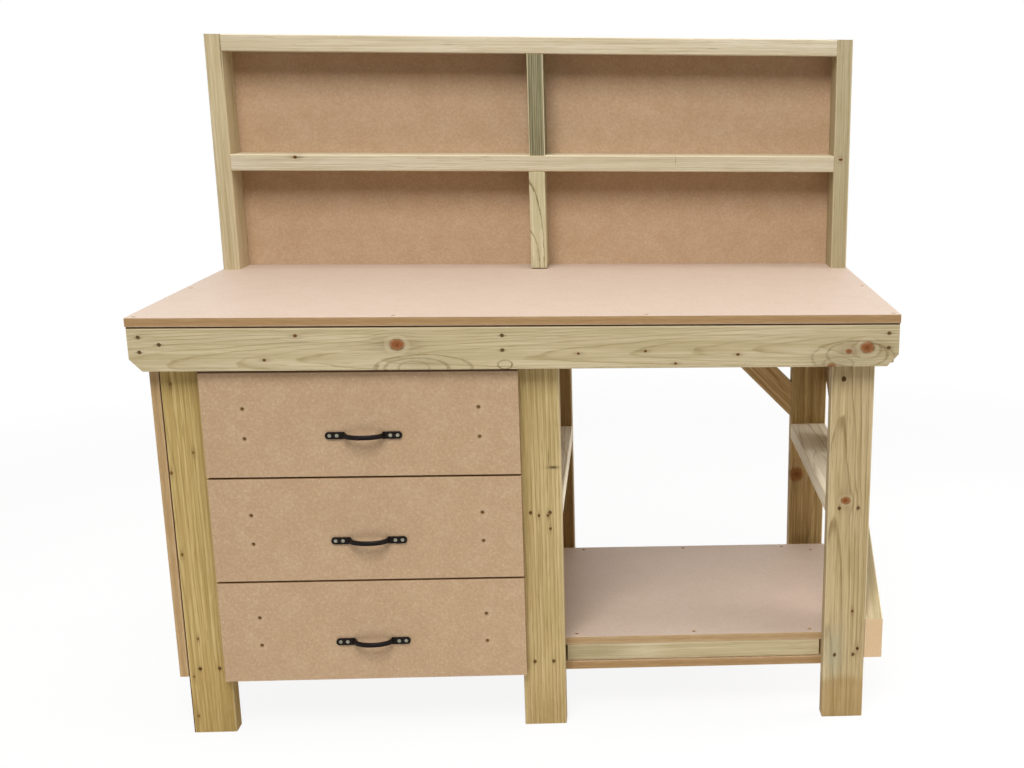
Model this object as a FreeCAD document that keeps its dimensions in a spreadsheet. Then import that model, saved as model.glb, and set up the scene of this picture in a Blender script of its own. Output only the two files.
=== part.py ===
import FreeCAD, Part
import Sketcher
import math
import os

# Timber workbench with a drawer bay, a low shelf and a storage shelf behind the worktop.
# Millimetres. +Z is up, the drawers face -Y, and the origin is on the floor
# under the middle of the whole bench.

document = FreeCAD.newDocument("workbench")

# Driving sizes

SIZES = {
    # The bench as a whole
    "bench_width": 1509,
    "bench_depth": 747,
    "worktop_height": 900,
    "total_height": 1444,
    # Stock: planed studding, a lighter batten and medium density fibreboard
    "stud_width": 89,
    "stud_thickness": 38,
    "batten_width": 63,
    "eased_radius": 3,
    "board_thickness": 18,
    "board_arris": 0.8,
    # Worktop and aprons
    "worktop_side_overhang": 3.5,
    "worktop_front_overhang": 2,
    "apron_end_overhang": 2,
    "apron_clip_width": 24,
    "apron_clip_height": 25,
    # Leg frames and braces
    "drawer_bay_width": 609.5,
    "bottom_brace_height": 127,
    "mid_brace_height": 461,
    "side_brace_front_top": 228,
    "side_brace_rear_top": 745,
    "side_brace_foot": 139,
    "knee_brace_low_point": 517,
    "side_panel_height": 129,
    # Low shelf between the middle and right frames
    "shelf_set_back": 4,
    "shelf_depth": 564,
    "shelf_bearer_gap": 1,
    "shelf_rail_end_gap": 3.5,
    # Back unit
    "storage_shelf_height": 1134,
    "upper_divider_offset": 0.9,
    "lower_divider_offset": -1.3,
    "lower_divider_gap": 2.5,
    # Drawer fronts
    "drawer_front_width": 626.4,
    "drawer_front_height": 218.5,
    "drawer_front_gap": 4.4,
    "drawer_front_clearance": 1,
    # Drawer boxes
    "drawer_box_depth": 520,
    "drawer_box_height": 144,
    "drawer_box_lift": 20,
    "drawer_side_thickness": 12,
    "drawer_bottom_thickness": 6,
    # Telescopic runners
    "runner_length": 500,
    "runner_depth": 12.7,
    "runner_height": 45,
    "runner_plate": 1.2,
    "runner_play": 0.3,
    "runner_centre": 80,
    "runner_set_back": 3,
    "middle_slide_offset": 3.2,
    "channel_lip_depth": 10,
    "middle_lip_depth": 7.8,
    "strip_lip_depth": 7.2,
    # Handles
    "handle_length": 153,
    "handle_height_on_front": 86,
    "handle_stand_off": 27,
    "lug_length": 39,
    "lug_height": 14.6,
    "lug_thickness": 3.5,
    "lug_end_radius": 7.1,
    "grip_height": 9.6,
    "grip_depth": 8,
    "grip_foot": 9,
    "grip_overlap": 5.5,
    "grip_rounding": 3,
    "top_handle_shift": 2.6,
    "middle_handle_shift": 1,
    "bottom_handle_shift": -2.9,
    # Screws
    "screw_head_radius": 4,
    "screw_shank_radius": 2,
    "screw_head_depth": 2.4,
    "screw_pit_radius": 4.3,
    "screw_pit_depth": 0.8,
    "long_screw": 75,
    "side_screw": 60,
    "board_screw": 45,
    "front_screw": 28,
    "box_screw": 30,
    "handle_screw": 18,
    "pan_head_radius": 3.6,
    "pan_head_depth": 1.4,
    "pan_screw": 11,
    # Screw places
    "end_grain_spacing": 40,
    "apron_screw_drop": 21,
    "apron_screw_spacing": 29.5,
    "rail_screw_spacing": 60,
    "leg_screw_drop": 35.6,
    "leg_screw_inset": 19.4,
    "worktop_screw_inset": 14,
    "shelf_screw_inset": 17,
    "shelf_end_screw_inset": 20,
    "shelf_edge_screw_inset": 41,
    "shelf_edge_screw_set_back": 43,
    "panel_screw_inset": 60,
    "back_screw_inset": 180,
    "brace_screw_spacing": 44,
    "knee_screw_spacing": 22,
    "front_screw_half_spacing": 232.5,
    "front_screw_low": 80.5,
    "front_screw_high": 142,
    "box_screw_inset": 24,
    "handle_screw_inset": 9,
    "handle_screw_spacing": 14.5,
    "runner_screw_inset": 26,
}

sheet = document.addObject("Spreadsheet::Sheet", "Sizes")
for row, (alias, millimetres) in enumerate(SIZES.items(), 1):
    sheet.set(f"A{row}", alias)
    sheet.set(f"B{row}", str(millimetres))
    sheet.setAlias(f"B{row}", alias)
document.recompute()


class Length:
    """A length in millimetres, kept as a formula over the cells of the sheet."""

    def __init__(self, formula):
        self.formula = str(formula)

    def __add__(self, other):
        return Length(f"({self.formula} + {as_formula(other)})")

    def __radd__(self, other):
        return Length(f"({as_formula(other)} + {self.formula})")

    def __sub__(self, other):
        return Length(f"({self.formula} - {as_formula(other)})")

    def __rsub__(self, other):
        return Length(f"({as_formula(other)} - {self.formula})")

    def __mul__(self, other):
        return Length(f"({self.formula} * {as_formula(other)})")

    def __rmul__(self, other):
        return Length(f"({as_formula(other)} * {self.formula})")

    def __truediv__(self, other):
        return Length(f"({self.formula} / {as_formula(other)})")

    def __neg__(self):
        return Length(f"(0 - {self.formula})")

    def value(self):
        return float(sheet.evalExpression(self.formula))


def as_formula(number_or_length):
    if isinstance(number_or_length, Length):
        return number_or_length.formula
    return str(number_or_length)


def square_root(length):
    return Length(f"sqrt({length.formula})")


def size(alias):
    return Length(f"Sizes.{alias}")


ZERO = Length(0)
stud_width = size("stud_width")
stud = size("stud_thickness")
board = size("board_thickness")

# Planes of the bench, from the sizes

left_face = -size("bench_width") / 2
right_face = size("bench_width") / 2
left_leg_outer = left_face + stud
left_leg_inner = left_leg_outer + stud_width
middle_leg_left = left_leg_inner + size("drawer_bay_width")
middle_leg_right = middle_leg_left + stud_width
right_leg_outer = right_face - stud
right_leg_inner = right_leg_outer - stud_width
drawer_centre = (left_leg_inner + middle_leg_left) / 2

handle_reach = size("handle_stand_off") + board + size("drawer_front_clearance") - stud
front_face = (handle_reach - size("bench_depth") - board) / 2
front_leg_front = front_face + stud
front_leg_back = front_leg_front + stud
rear_face = front_face + size("bench_depth")
rear_leg_back = rear_face - stud
rear_leg_front = rear_leg_back - stud

worktop_top = size("worktop_height")
apron_top = worktop_top - board
apron_bottom = apron_top - stud_width
bottom_brace_bottom = size("bottom_brace_height")
bottom_brace_top = bottom_brace_bottom + stud
mid_brace_bottom = size("mid_brace_height")

LEGS_X = {
    "left": (left_leg_outer, left_leg_inner),
    "middle": (middle_leg_left, middle_leg_right),
    "right": (right_leg_inner, right_leg_outer),
}
LEGS_Y = {
    "front": (front_leg_front, front_leg_back),
    "rear": (rear_leg_front, rear_leg_back),
}
RAILS_X = {
    "left": (left_face, left_leg_outer),
    "middle": (middle_leg_left - stud, middle_leg_left),
    "right": (right_leg_outer, right_face),
}


# Ways of making a piece

# How near a length in millimetres, and the cosine of an angle, have to be to count as met
TOLERANCE = 0.01
PARALLEL = 0.9999

ORIGIN_PLANES = {"x": "YZ_Plane", "y": "XZ_Plane", "z": "XY_Plane"}
AXES = {"x": FreeCAD.Vector(1, 0, 0), "y": FreeCAD.Vector(0, 1, 0), "z": FreeCAD.Vector(0, 0, 1)}


def centre(span):
    return (span[0] + span[1]) / 2


def place(piece, x, y, z):
    piece.setExpression("Placement.Base.x", x.formula)
    piece.setExpression("Placement.Base.y", y.formula)
    piece.setExpression("Placement.Base.z", z.formula)


def new_sketch(body, name, axis):
    plane = next(item for item in body.Origin.OriginFeatures if item.Role == ORIGIN_PLANES[axis])
    sketch = body.newObject("Sketcher::SketchObject", name)
    sketch.AttachmentSupport = (plane, [""])
    sketch.MapMode = "FlatFace"
    return sketch


def bind(sketch, kind, geometry, point, length):
    number = sketch.addConstraint(Sketcher.Constraint(kind, geometry, point, length.value()))
    sketch.setExpression(f"Constraints[{number}]", length.formula)


def draw_polygon(sketch, corners):
    """Draws straight lines from corner to corner, each corner bound to its two lengths."""
    points = [FreeCAD.Vector(u.value(), v.value(), 0) for u, v in corners]
    count = len(points)
    for index in range(count):
        line = Part.LineSegment(points[index], points[(index + 1) % count])
        sketch.addGeometry(line, False)
    for index in range(count):
        sketch.addConstraint(Sketcher.Constraint("Coincident", index, 2, (index + 1) % count, 1))
    for index, (u, v) in enumerate(corners):
        bind(sketch, "DistanceX", index, 1, u)
        bind(sketch, "DistanceY", index, 1, v)


def extruded(name, axis, corners, thickness):
    """Makes a body from an outline square to the axis, padded along +axis. Returns body and pad."""
    body = document.addObject("PartDesign::Body", name)
    sketch = new_sketch(body, "Outline", axis)
    draw_polygon(sketch, corners)
    pad = body.newObject("PartDesign::Pad", "Stock")
    pad.Profile = sketch
    pad.Reversed = axis == "y"
    pad.setExpression("Length", thickness.formula)
    document.recompute()
    return body, pad


def round_edges(body, feature, radius, wanted):
    """Rounds each edge of the feature that wanted(edge) picks."""
    names = [f"Edge{number}" for number, edge in enumerate(feature.Shape.Edges, 1) if wanted(edge)]
    rounding = body.newObject("PartDesign::Fillet", "Rounding")
    rounding.Base = (feature, names)
    rounding.setExpression("Radius", radius.formula)
    document.recompute()
    return rounding


def runs_along(direction):
    """Picks straight edges that are parallel to the direction."""
    def wanted(edge):
        tangent = edge.tangentAt(edge.FirstParameter)
        return abs(tangent.dot(direction.normalize())) > PARALLEL
    return wanted


def any_edge(edge):
    return True


def rectangle(u_span, v_span):
    width = u_span[1] - u_span[0]
    height = v_span[1] - v_span[0]
    return [(ZERO, ZERO), (width, ZERO), (width, height), (ZERO, height)]


def block(name, x, y, z, axis):
    """A rectangular piece between six planes, extruded along one axis."""
    spans = {"x": x, "y": y, "z": z}
    low, high = spans.pop(axis)
    u_span, v_span = spans.values()
    body, pad = extruded(name, axis, rectangle(u_span, v_span), high - low)
    place(body, x[0], y[0], z[0])
    return body, pad


def timber(name, x, y, z, grain):
    """A length of sawn and planed timber, its four long edges eased."""
    body, pad = block(name, x, y, z, grain)
    round_edges(body, pad, size("eased_radius"), runs_along(AXES[grain]))
    return body


def sheet_board(name, x, y, z, axis):
    """A cut sheet of board, with a fine arris on every edge."""
    body, pad = block(name, x, y, z, axis)
    round_edges(body, pad, size("board_arris"), any_edge)
    return body


def plain_block(name, x, y, z, axis):
    """A rectangular piece with sharp edges."""
    return block(name, x, y, z, axis)[0]


# Screws: a countersunk or pan head and a plain shank, pointing along their own +Z.
# A seat is the same shape with the shallow pit that the head leaves above itself.

def cylinder(name, radius, start, length):
    solid = document.addObject("Part::Cylinder", name)
    solid.setExpression("Radius", radius.formula)
    solid.setExpression("Height", length.formula)
    solid.setExpression("Placement.Base.z", start.formula)
    return solid


sunk_head = document.addObject("Part::Cone", "sunk_head")
sunk_head.setExpression("Radius1", size("screw_head_radius").formula)
sunk_head.setExpression("Radius2", size("screw_shank_radius").formula)
sunk_head.setExpression("Height", size("screw_head_depth").formula)
pit = cylinder("pit", size("screw_pit_radius"), -size("screw_pit_depth"), size("screw_pit_depth"))
pan_head = cylinder("pan_head", size("pan_head_radius"), -size("pan_head_depth"), size("pan_head_depth"))

SHANKS = {}
SCREW_KINDS = (
    "long_screw", "side_screw", "board_screw", "front_screw", "box_screw", "handle_screw", "pan_screw",
)
for kind in SCREW_KINDS:
    SHANKS[kind] = cylinder(f"{kind}_shank", size("screw_shank_radius"), ZERO, size(kind))

INTO = {
    "+x": FreeCAD.Rotation(FreeCAD.Vector(0, 1, 0), 90),
    "-x": FreeCAD.Rotation(FreeCAD.Vector(0, 1, 0), -90),
    "+y": FreeCAD.Rotation(FreeCAD.Vector(1, 0, 0), -90),
    "-y": FreeCAD.Rotation(FreeCAD.Vector(1, 0, 0), 90),
    "-z": FreeCAD.Rotation(FreeCAD.Vector(1, 0, 0), 180),
}
SHIFT = {"+x": (1, 0, 0), "-x": (-1, 0, 0), "+y": (0, 1, 0), "-y": (0, -1, 0), "-z": (0, 0, -1)}


def fused(name, shapes, into, point):
    solid = document.addObject("Part::MultiFuse", name)
    solid.Shapes = shapes
    solid.Placement = FreeCAD.Placement(FreeCAD.Vector(), INTO[into])
    place(solid, *point)
    return solid


def sunk_screw(kind, into, surface_point, flush=False):
    """A screw driven in at a point of a surface. Returns the screw and the seat that it cuts."""
    sink = ZERO if flush else size("screw_pit_depth")
    point = [place_on + shift * sink for place_on, shift in zip(surface_point, SHIFT[into])]
    screw = fused("screw", [sunk_head, SHANKS[kind]], into, point)
    if flush:
        return screw, screw
    seat = fused("seat", [pit, sunk_head, SHANKS[kind]], into, point)
    return screw, seat


def pan_screw(into, surface_point):
    """A runner screw whose flat head stays on the surface."""
    screw = fused("screw", [pan_head, SHANKS["pan_screw"]], into, surface_point)
    return screw, screw


def bored(piece, screws):
    """Cuts out of a piece the seats of the screws that reach into it."""
    document.recompute()
    box = piece.Shape.BoundBox
    seats = [seat for _, seat in screws if seat.Shape.BoundBox.intersect(box)]
    if not seats:
        return piece
    tool = document.addObject("Part::Compound", "seats")
    tool.Links = seats
    cut = document.addObject("Part::Cut", "bored")
    cut.Base = piece
    cut.Tool = tool
    return cut


def together(members):
    group = document.addObject("Part::Compound", "set")
    group.Links = members
    return group


NODES = {}


def node(name, piece):
    piece.Label = name
    NODES[name] = piece


# The frame: aprons, rails, legs and braces

between_aprons = (front_leg_front, rear_leg_back)
between_legs = (front_leg_back, rear_leg_front)
rail_height = (apron_bottom, apron_top)
FRAME = {}


def apron(name, y):
    """A board on edge across the bench, its lower corners clipped."""
    half_length = size("bench_width") / 2 + size("apron_end_overhang")
    clip_width = size("apron_clip_width")
    clip_height = size("apron_clip_height")
    length = half_length * 2
    corners = [
        (clip_width, ZERO),
        (length - clip_width, ZERO),
        (length, clip_height),
        (length, stud_width),
        (ZERO, stud_width),
        (ZERO, clip_height),
    ]
    body, pad = extruded(name, "y", corners, y[1] - y[0])
    round_edges(body, pad, size("eased_radius"), runs_along(AXES["x"]))
    place(body, -half_length, y[0], apron_bottom)
    return body


FRAME["front_apron"] = apron("front_apron", (front_face, front_leg_front))
FRAME["rear_apron"] = apron("rear_apron", (rear_leg_back, rear_face))

for side, x in RAILS_X.items():
    name = f"{side}_top_rail"
    FRAME[name] = timber(name, x, between_aprons, rail_height, "y")

for side, x in LEGS_X.items():
    for end, y in LEGS_Y.items():
        name = f"{end}_{side}_leg"
        FRAME[name] = timber(name, x, y, (ZERO, apron_top), "z")
    name = f"{side}_bottom_brace"
    FRAME[name] = timber(name, x, between_legs, (bottom_brace_bottom, bottom_brace_top), "y")

for side in ("middle", "right"):
    name = f"{side}_mid_brace"
    FRAME[name] = timber(name, LEGS_X[side], between_legs, (mid_brace_bottom, mid_brace_bottom + stud), "y")


def side_brace():
    """The sloping brace outside the right legs, cut upright at both ends and level at its foot."""
    run = rear_leg_back - front_leg_front
    front_top = size("side_brace_front_top") - size("side_brace_foot")
    rear_top = size("side_brace_rear_top") - size("side_brace_foot")
    slope = (rear_top - front_top) / run
    upright_width = stud_width * square_root(1 + slope * slope)
    foot_length = (upright_width - front_top) / slope
    corners = [
        (ZERO, ZERO),
        (foot_length, ZERO),
        (run, rear_top - upright_width),
        (run, rear_top),
        (ZERO, front_top),
    ]
    body, pad = extruded("right_diagonal_brace", "x", corners, stud)
    along = FreeCAD.Vector(0, 1, slope.value())
    round_edges(body, pad, size("eased_radius"), runs_along(along))
    place(body, right_leg_outer, front_leg_front, size("side_brace_foot"))
    return body, slope, upright_width


FRAME["right_diagonal_brace"], side_slope, side_brace_upright_width = side_brace()


def knee_brace():
    """The batten at 45 degrees from the rear right leg up to the rear apron."""
    slant = size("batten_width") * square_root(Length(2))
    rise = apron_top - size("knee_brace_low_point")
    corners = [(rise, ZERO), (rise, slant), (slant, rise), (ZERO, rise)]
    body, pad = extruded("rear_knee_brace", "y", corners, stud)
    along = FreeCAD.Vector(-1, 0, 1)
    round_edges(body, pad, size("eased_radius"), runs_along(along))
    place(body, right_leg_inner - rise, rear_leg_front, size("knee_brace_low_point"))
    return body, slant


FRAME["rear_knee_brace"], knee_slant = knee_brace()

# The worktop, the left panel and the low shelf, which is a shallow box: boards above and
# below the bottom braces, with a flat rail along the front and the back

worktop_x = (left_face - size("worktop_side_overhang"), right_face + size("worktop_side_overhang"))
worktop_y = (front_face - size("worktop_front_overhang"), rear_face)
FRAME["worktop"] = sheet_board("worktop", worktop_x, worktop_y, (apron_top, worktop_top), "z")

FRAME["left_side_panel"] = sheet_board(
    "left_side_panel",
    (left_leg_outer - board, left_leg_outer),
    between_aprons,
    (size("side_panel_height"), apron_bottom),
    "x",
)

shelf_front = front_leg_back + size("shelf_set_back")
shelf_y = (shelf_front, shelf_front + size("shelf_depth"))
shelf_x = (middle_leg_left + stud + size("shelf_bearer_gap"), right_leg_outer)
FRAME["lower_shelf"] = sheet_board(
    "lower_shelf", shelf_x, shelf_y, (bottom_brace_top, bottom_brace_top + board), "z"
)
FRAME["lower_bottom_board"] = sheet_board(
    "lower_bottom_board",
    (middle_leg_left, right_leg_outer),
    (front_leg_back, shelf_y[1]),
    (bottom_brace_bottom - board, bottom_brace_bottom),
    "z",
)
shelf_rail_x = (middle_leg_right + size("shelf_rail_end_gap"), right_leg_inner - size("shelf_rail_end_gap"))
SHELF_RAILS_Y = {
    "front": (shelf_y[0], shelf_y[0] + stud_width),
    "rear": (shelf_y[1] - stud_width, shelf_y[1]),
}
for end, y in SHELF_RAILS_Y.items():
    name = f"lower_shelf_{end}_rail"
    FRAME[name] = timber(name, shelf_rail_x, y, (bottom_brace_bottom, bottom_brace_top), "x")

# The back unit: two uprights, a top rail, a shelf with a divider above and below it,
# and a board across the back

unit_y = (rear_face - stud_width, rear_face)
unit_top = size("total_height")
storage_shelf_bottom = size("storage_shelf_height")
storage_shelf_top = storage_shelf_bottom + stud
top_rail_bottom = unit_top - stud
UPRIGHTS_X = {"left": RAILS_X["left"], "right": RAILS_X["right"]}
between_uprights = (left_leg_outer, right_leg_outer)

for side, x in UPRIGHTS_X.items():
    name = f"{side}_upright"
    FRAME[name] = timber(name, x, unit_y, (worktop_top, unit_top), "z")
FRAME["top_rail"] = timber("top_rail", between_uprights, unit_y, (top_rail_bottom, unit_top), "x")
FRAME["storage_shelf"] = timber(
    "storage_shelf", between_uprights, unit_y, (storage_shelf_bottom, storage_shelf_top), "x"
)


def divider(name, middle, z):
    x = (middle - stud / 2, middle + stud / 2)
    return timber(name, x, unit_y, z, "z")


upper_divider_x = size("upper_divider_offset")
FRAME["upper_divider"] = divider("upper_divider", upper_divider_x, (storage_shelf_top, top_rail_bottom))
FRAME["lower_divider"] = divider(
    "lower_divider",
    size("lower_divider_offset"),
    (worktop_top + size("lower_divider_gap"), storage_shelf_bottom),
)
back_panel_y = (rear_face, rear_face + board)
FRAME["back_panel"] = sheet_board(
    "back_panel", (left_face, right_face), back_panel_y, (apron_bottom, unit_top), "y"
)

# Drawer places, counted from the top

DRAWERS = (1, 2, 3)
front_board_y = (
    front_leg_front - size("drawer_front_clearance") - board,
    front_leg_front - size("drawer_front_clearance"),
)
half_front = size("drawer_front_width") / 2
drawer_front_x = (drawer_centre - half_front, drawer_centre + half_front)
DRAWER_BOTTOM = {}
drawer_top = apron_bottom - size("drawer_front_gap")
for number in DRAWERS:
    DRAWER_BOTTOM[number] = drawer_top - size("drawer_front_height")
    drawer_top = DRAWER_BOTTOM[number] - size("drawer_front_gap")

# Runners. A section is drawn outwards from the face that it is screwed to.

BAY_SIDES = {"left": (left_leg_inner, 1), "right": (middle_leg_left, -1)}
runner_y = front_leg_front + size("runner_set_back")
plate = size("runner_plate")
channel_half = size("runner_height") / 2
middle_half = channel_half - plate - size("runner_play")
strip_half = middle_half - plate - size("runner_play")


def channel(name, face, outwards, base, tip, half_height, z):
    """A folded steel channel along Y, its back plate at base and its lips reaching to tip."""
    inside = base + plate if tip.value() > base.value() else base - plate
    corners = [
        (base, -half_height),
        (tip, -half_height),
        (tip, plate - half_height),
        (inside, plate - half_height),
        (inside, half_height - plate),
        (tip, half_height - plate),
        (tip, half_height),
        (base, half_height),
    ]
    corners = [(u * outwards, v) for u, v in corners]
    body, _ = extruded(name, "y", corners, size("runner_length"))
    place(body, face, runner_y, z)
    return body


fixed_channels = []
bearers = []
MIDDLE_SLIDES = {}
RUNNER_STRIPS = {}
for number in DRAWERS:
    z = DRAWER_BOTTOM[number] + size("runner_centre")
    MIDDLE_SLIDES[number] = []
    RUNNER_STRIPS[number] = []
    for side, (face, outwards) in BAY_SIDES.items():
        fixed_channels.append(
            channel("fixed_channel", face, outwards, ZERO, size("channel_lip_depth"), channel_half, z)
        )
        middle_base = size("middle_slide_offset")
        MIDDLE_SLIDES[number].append(
            channel(
                "middle_slide", face, outwards, middle_base,
                middle_base + size("middle_lip_depth"), middle_half, z,
            )
        )
        strip_base = size("runner_depth")
        RUNNER_STRIPS[number].append(
            channel(
                "runner_strip", face, outwards, strip_base,
                strip_base - size("strip_lip_depth"), strip_half, z,
            )
        )
        bearer_x = (face - stud, face) if side == "left" else (face, face + stud)
        half_batten = size("batten_width") / 2
        bearers.append(timber("bearer", bearer_x, between_legs, (z - half_batten, z + half_batten), "y"))

# Drawer boxes, fronts and handles

box_half_width = size("drawer_bay_width") / 2 - size("runner_depth")
box_x = (drawer_centre - box_half_width, drawer_centre + box_half_width)
box_y = (front_board_y[1], front_board_y[1] + size("drawer_box_depth"))
side_thickness = size("drawer_side_thickness")


def handle(name, x, y, z):
    """A cast pull: two flat lugs with rounded ends and a bowed grip that springs from them."""
    half_length = size("handle_length") / 2
    lug_inner = half_length - size("lug_length")
    half_lug = size("lug_height") / 2
    body = document.addObject("PartDesign::Body", name)
    feature = None
    for outwards in (-1, 1):
        sketch = new_sketch(body, "LugOutline", "y")
        corners = [
            (lug_inner * outwards, -half_lug),
            (half_length * outwards, -half_lug),
            (half_length * outwards, half_lug),
            (lug_inner * outwards, half_lug),
        ]
        draw_polygon(sketch, corners)
        feature = body.newObject("PartDesign::Pad", "Lug")
        feature.Profile = sketch
        feature.setExpression("Length", size("lug_thickness").formula)
        document.recompute()
        if outwards < 0:
            feature = round_lug_end(body, feature, half_length, outwards)
    feature = round_lug_end(body, feature, half_length, 1)
    draw_grip(body, lug_inner)
    place(body, x, y, z)
    return body


def round_lug_end(body, feature, half_length, outwards):
    end_x = half_length.value() * outwards

    def wanted(edge):
        along_y = runs_along(AXES["y"])(edge)
        return along_y and abs(edge.BoundBox.Center.x - end_x) < TOLERANCE
    return round_edges(body, feature, size("lug_end_radius"), wanted)


def draw_grip(body, lug_inner):
    """The bowed grip, drawn from above between two half ellipses with the same middle."""
    outer_half = lug_inner + size("grip_overlap")
    inner_half = outer_half - size("grip_foot")
    outer_rise = size("handle_stand_off")
    inner_rise = outer_rise - size("grip_depth")
    sketch = new_sketch(body, "GripOutline", "z")
    bows = [half_ellipse(sketch, outer_half, outer_rise), half_ellipse(sketch, inner_half, inner_rise)]
    for bow_end, outwards in ((1, -1), (2, 1)):
        start = FreeCAD.Vector(outer_half.value() * outwards, 0, 0)
        end = FreeCAD.Vector(inner_half.value() * outwards, 0, 0)
        foot = sketch.addGeometry(Part.LineSegment(start, end), False)
        for foot_end, bow in enumerate(bows, 1):
            sketch.addConstraint(Sketcher.Constraint("Coincident", bow, bow_end, foot, foot_end))
    grip = body.newObject("PartDesign::Pad", "Grip")
    grip.Profile = sketch
    grip.SideType = "Symmetric"
    grip.setExpression("Length", size("grip_height").formula)
    document.recompute()

    def wanted(edge):
        return isinstance(edge.Curve, Part.Ellipse)
    round_edges(body, grip, size("grip_rounding"), wanted)


def half_ellipse(sketch, half_width, rise):
    """Draws the half of an ellipse that rises towards -Y, bound to its two radii."""
    ellipse = Part.Ellipse(FreeCAD.Vector(), half_width.value(), rise.value())
    bow = sketch.addGeometry(Part.ArcOfEllipse(ellipse, math.pi, 2 * math.pi), False)
    sketch.exposeInternalGeometry(bow)
    long_axis = bow + 1
    short_axis = bow + 2
    sketch.addConstraint(Sketcher.Constraint("Coincident", bow, 3, -1, 1))
    sketch.addConstraint(Sketcher.Constraint("Horizontal", long_axis))
    for axis, radius in ((long_axis, half_width), (short_axis, rise)):
        across = radius * 2
        number = sketch.addConstraint(Sketcher.Constraint("Distance", axis, across.value()))
        sketch.setExpression(f"Constraints[{number}]", across.formula)
    for bow_end in (1, 2):
        sketch.addConstraint(Sketcher.Constraint("PointOnObject", bow, bow_end, -1))
    return bow


HANDLE_X = {
    1: drawer_centre + size("top_handle_shift"),
    2: drawer_centre + size("middle_handle_shift"),
    3: drawer_centre + size("bottom_handle_shift"),
}
DRAWER_PIECES = {}
for number in DRAWERS:
    low = DRAWER_BOTTOM[number]
    bottom_z = low + size("drawer_box_lift")
    box_bottom = bottom_z + size("drawer_bottom_thickness")
    box_z = (box_bottom, box_bottom + size("drawer_box_height"))
    side_spans = ((box_x[0], box_x[0] + side_thickness), (box_x[1] - side_thickness, box_x[1]))
    end_x = (side_spans[0][1], side_spans[1][0])
    end_spans = ((box_y[0], box_y[0] + side_thickness), (box_y[1] - side_thickness, box_y[1]))
    DRAWER_PIECES[number] = {
        "front": sheet_board(
            f"front_{number}", drawer_front_x, front_board_y, (low, low + size("drawer_front_height")), "y"
        ),
        "sides": [plain_block(f"side_{number}", x, box_y, box_z, "x") for x in side_spans],
        "ends": [plain_block(f"end_{number}", end_x, y, box_z, "y") for y in end_spans],
        "bottom": plain_block(f"bottom_{number}", box_x, box_y, (bottom_z, box_bottom), "z"),
        "handle": handle(
            f"handle_{number}", HANDLE_X[number], front_board_y[0], low + size("handle_height_on_front")
        ),
    }

# Screws of the frame

frame_screws = []
board_screws = []
half_spacing = size("end_grain_spacing") / 2
APRON_FACES = ((front_face, "+y"), (rear_face, "-y"))
LEG_FACES = {"front": (front_leg_front, "+y"), "rear": (rear_leg_back, "-y")}

for side, x in RAILS_X.items():
    for y, into in APRON_FACES:
        for drop in (size("apron_screw_drop"), size("apron_screw_drop") + size("apron_screw_spacing")):
            frame_screws.append(sunk_screw("long_screw", into, (centre(x), y, apron_top - drop)))

leg_screw_x = left_leg_outer + size("leg_screw_inset")
leg_screw_z = apron_top - size("leg_screw_drop")
frame_screws.append(sunk_screw("side_screw", "+y", (leg_screw_x, front_face, leg_screw_z)))

BRACE_CENTRES = {
    "left": [centre((bottom_brace_bottom, bottom_brace_top))],
    "middle": [centre((bottom_brace_bottom, bottom_brace_top)), mid_brace_bottom + stud / 2],
    "right": [centre((bottom_brace_bottom, bottom_brace_top)), mid_brace_bottom + stud / 2],
}
for side, x in LEGS_X.items():
    for y, into in LEG_FACES.values():
        for z in BRACE_CENTRES[side]:
            for shift in (-half_spacing, half_spacing):
                frame_screws.append(sunk_screw("long_screw", into, (centre(x) + shift, y, z)))

RAIL_SCREW_FACES = {
    "left": (left_face, "+x"),
    "middle": (middle_leg_left - stud, "+x"),
    "right": (right_face, "-x"),
}
for face, into in RAIL_SCREW_FACES.values():
    for y in LEGS_Y.values():
        for shift in (-size("rail_screw_spacing") / 2, size("rail_screw_spacing") / 2):
            z = centre(rail_height) + shift
            frame_screws.append(sunk_screw("side_screw", into, (face, centre(y), z)))

# Two screws through the sloping brace into each right leg, on a line square to its slope
side_brace_middle = size("side_brace_front_top") - side_brace_upright_width / 2
for y in LEGS_Y.values():
    for shift in (-size("brace_screw_spacing") / 2, size("brace_screw_spacing") / 2):
        rise = side_slope * (centre(y) - front_leg_front)
        spot = (right_face, centre(y), side_brace_middle + rise + shift)
        frame_screws.append(sunk_screw("side_screw", "-x", spot))

# Two screws through the knee brace into the rear apron
for share in (-1, 1):
    z = centre(rail_height) + share * size("knee_screw_spacing") / 2
    x = right_leg_inner - (z - size("knee_brace_low_point")) + knee_slant / 2
    frame_screws.append(sunk_screw("side_screw", "+y", (x, rear_leg_front, z)))

# Bearers are screwed through the legs from the front and the back
for number in DRAWERS:
    z = DRAWER_BOTTOM[number] + size("runner_centre")
    for side, (face, outwards) in BAY_SIDES.items():
        x = face - outwards * stud / 2
        frame_screws.append(sunk_screw("long_screw", "-y", (x, rear_leg_back, z)))

# The storage shelf and the top rail are screwed through the uprights
shelf_middle = centre((storage_shelf_bottom, storage_shelf_top))
top_rail_middle = centre((top_rail_bottom, unit_top))
for face, into in ((left_face, "+x"), (right_face, "-x")):
    for z in (shelf_middle, top_rail_middle):
        for shift in (-half_spacing, half_spacing):
            frame_screws.append(sunk_screw("long_screw", into, (face, centre(unit_y) + shift, z)))
for shift in (-half_spacing, half_spacing):
    frame_screws.append(sunk_screw("long_screw", "-z", (upper_divider_x, centre(unit_y) + shift, unit_top)))

# Screws of the boards

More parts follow.
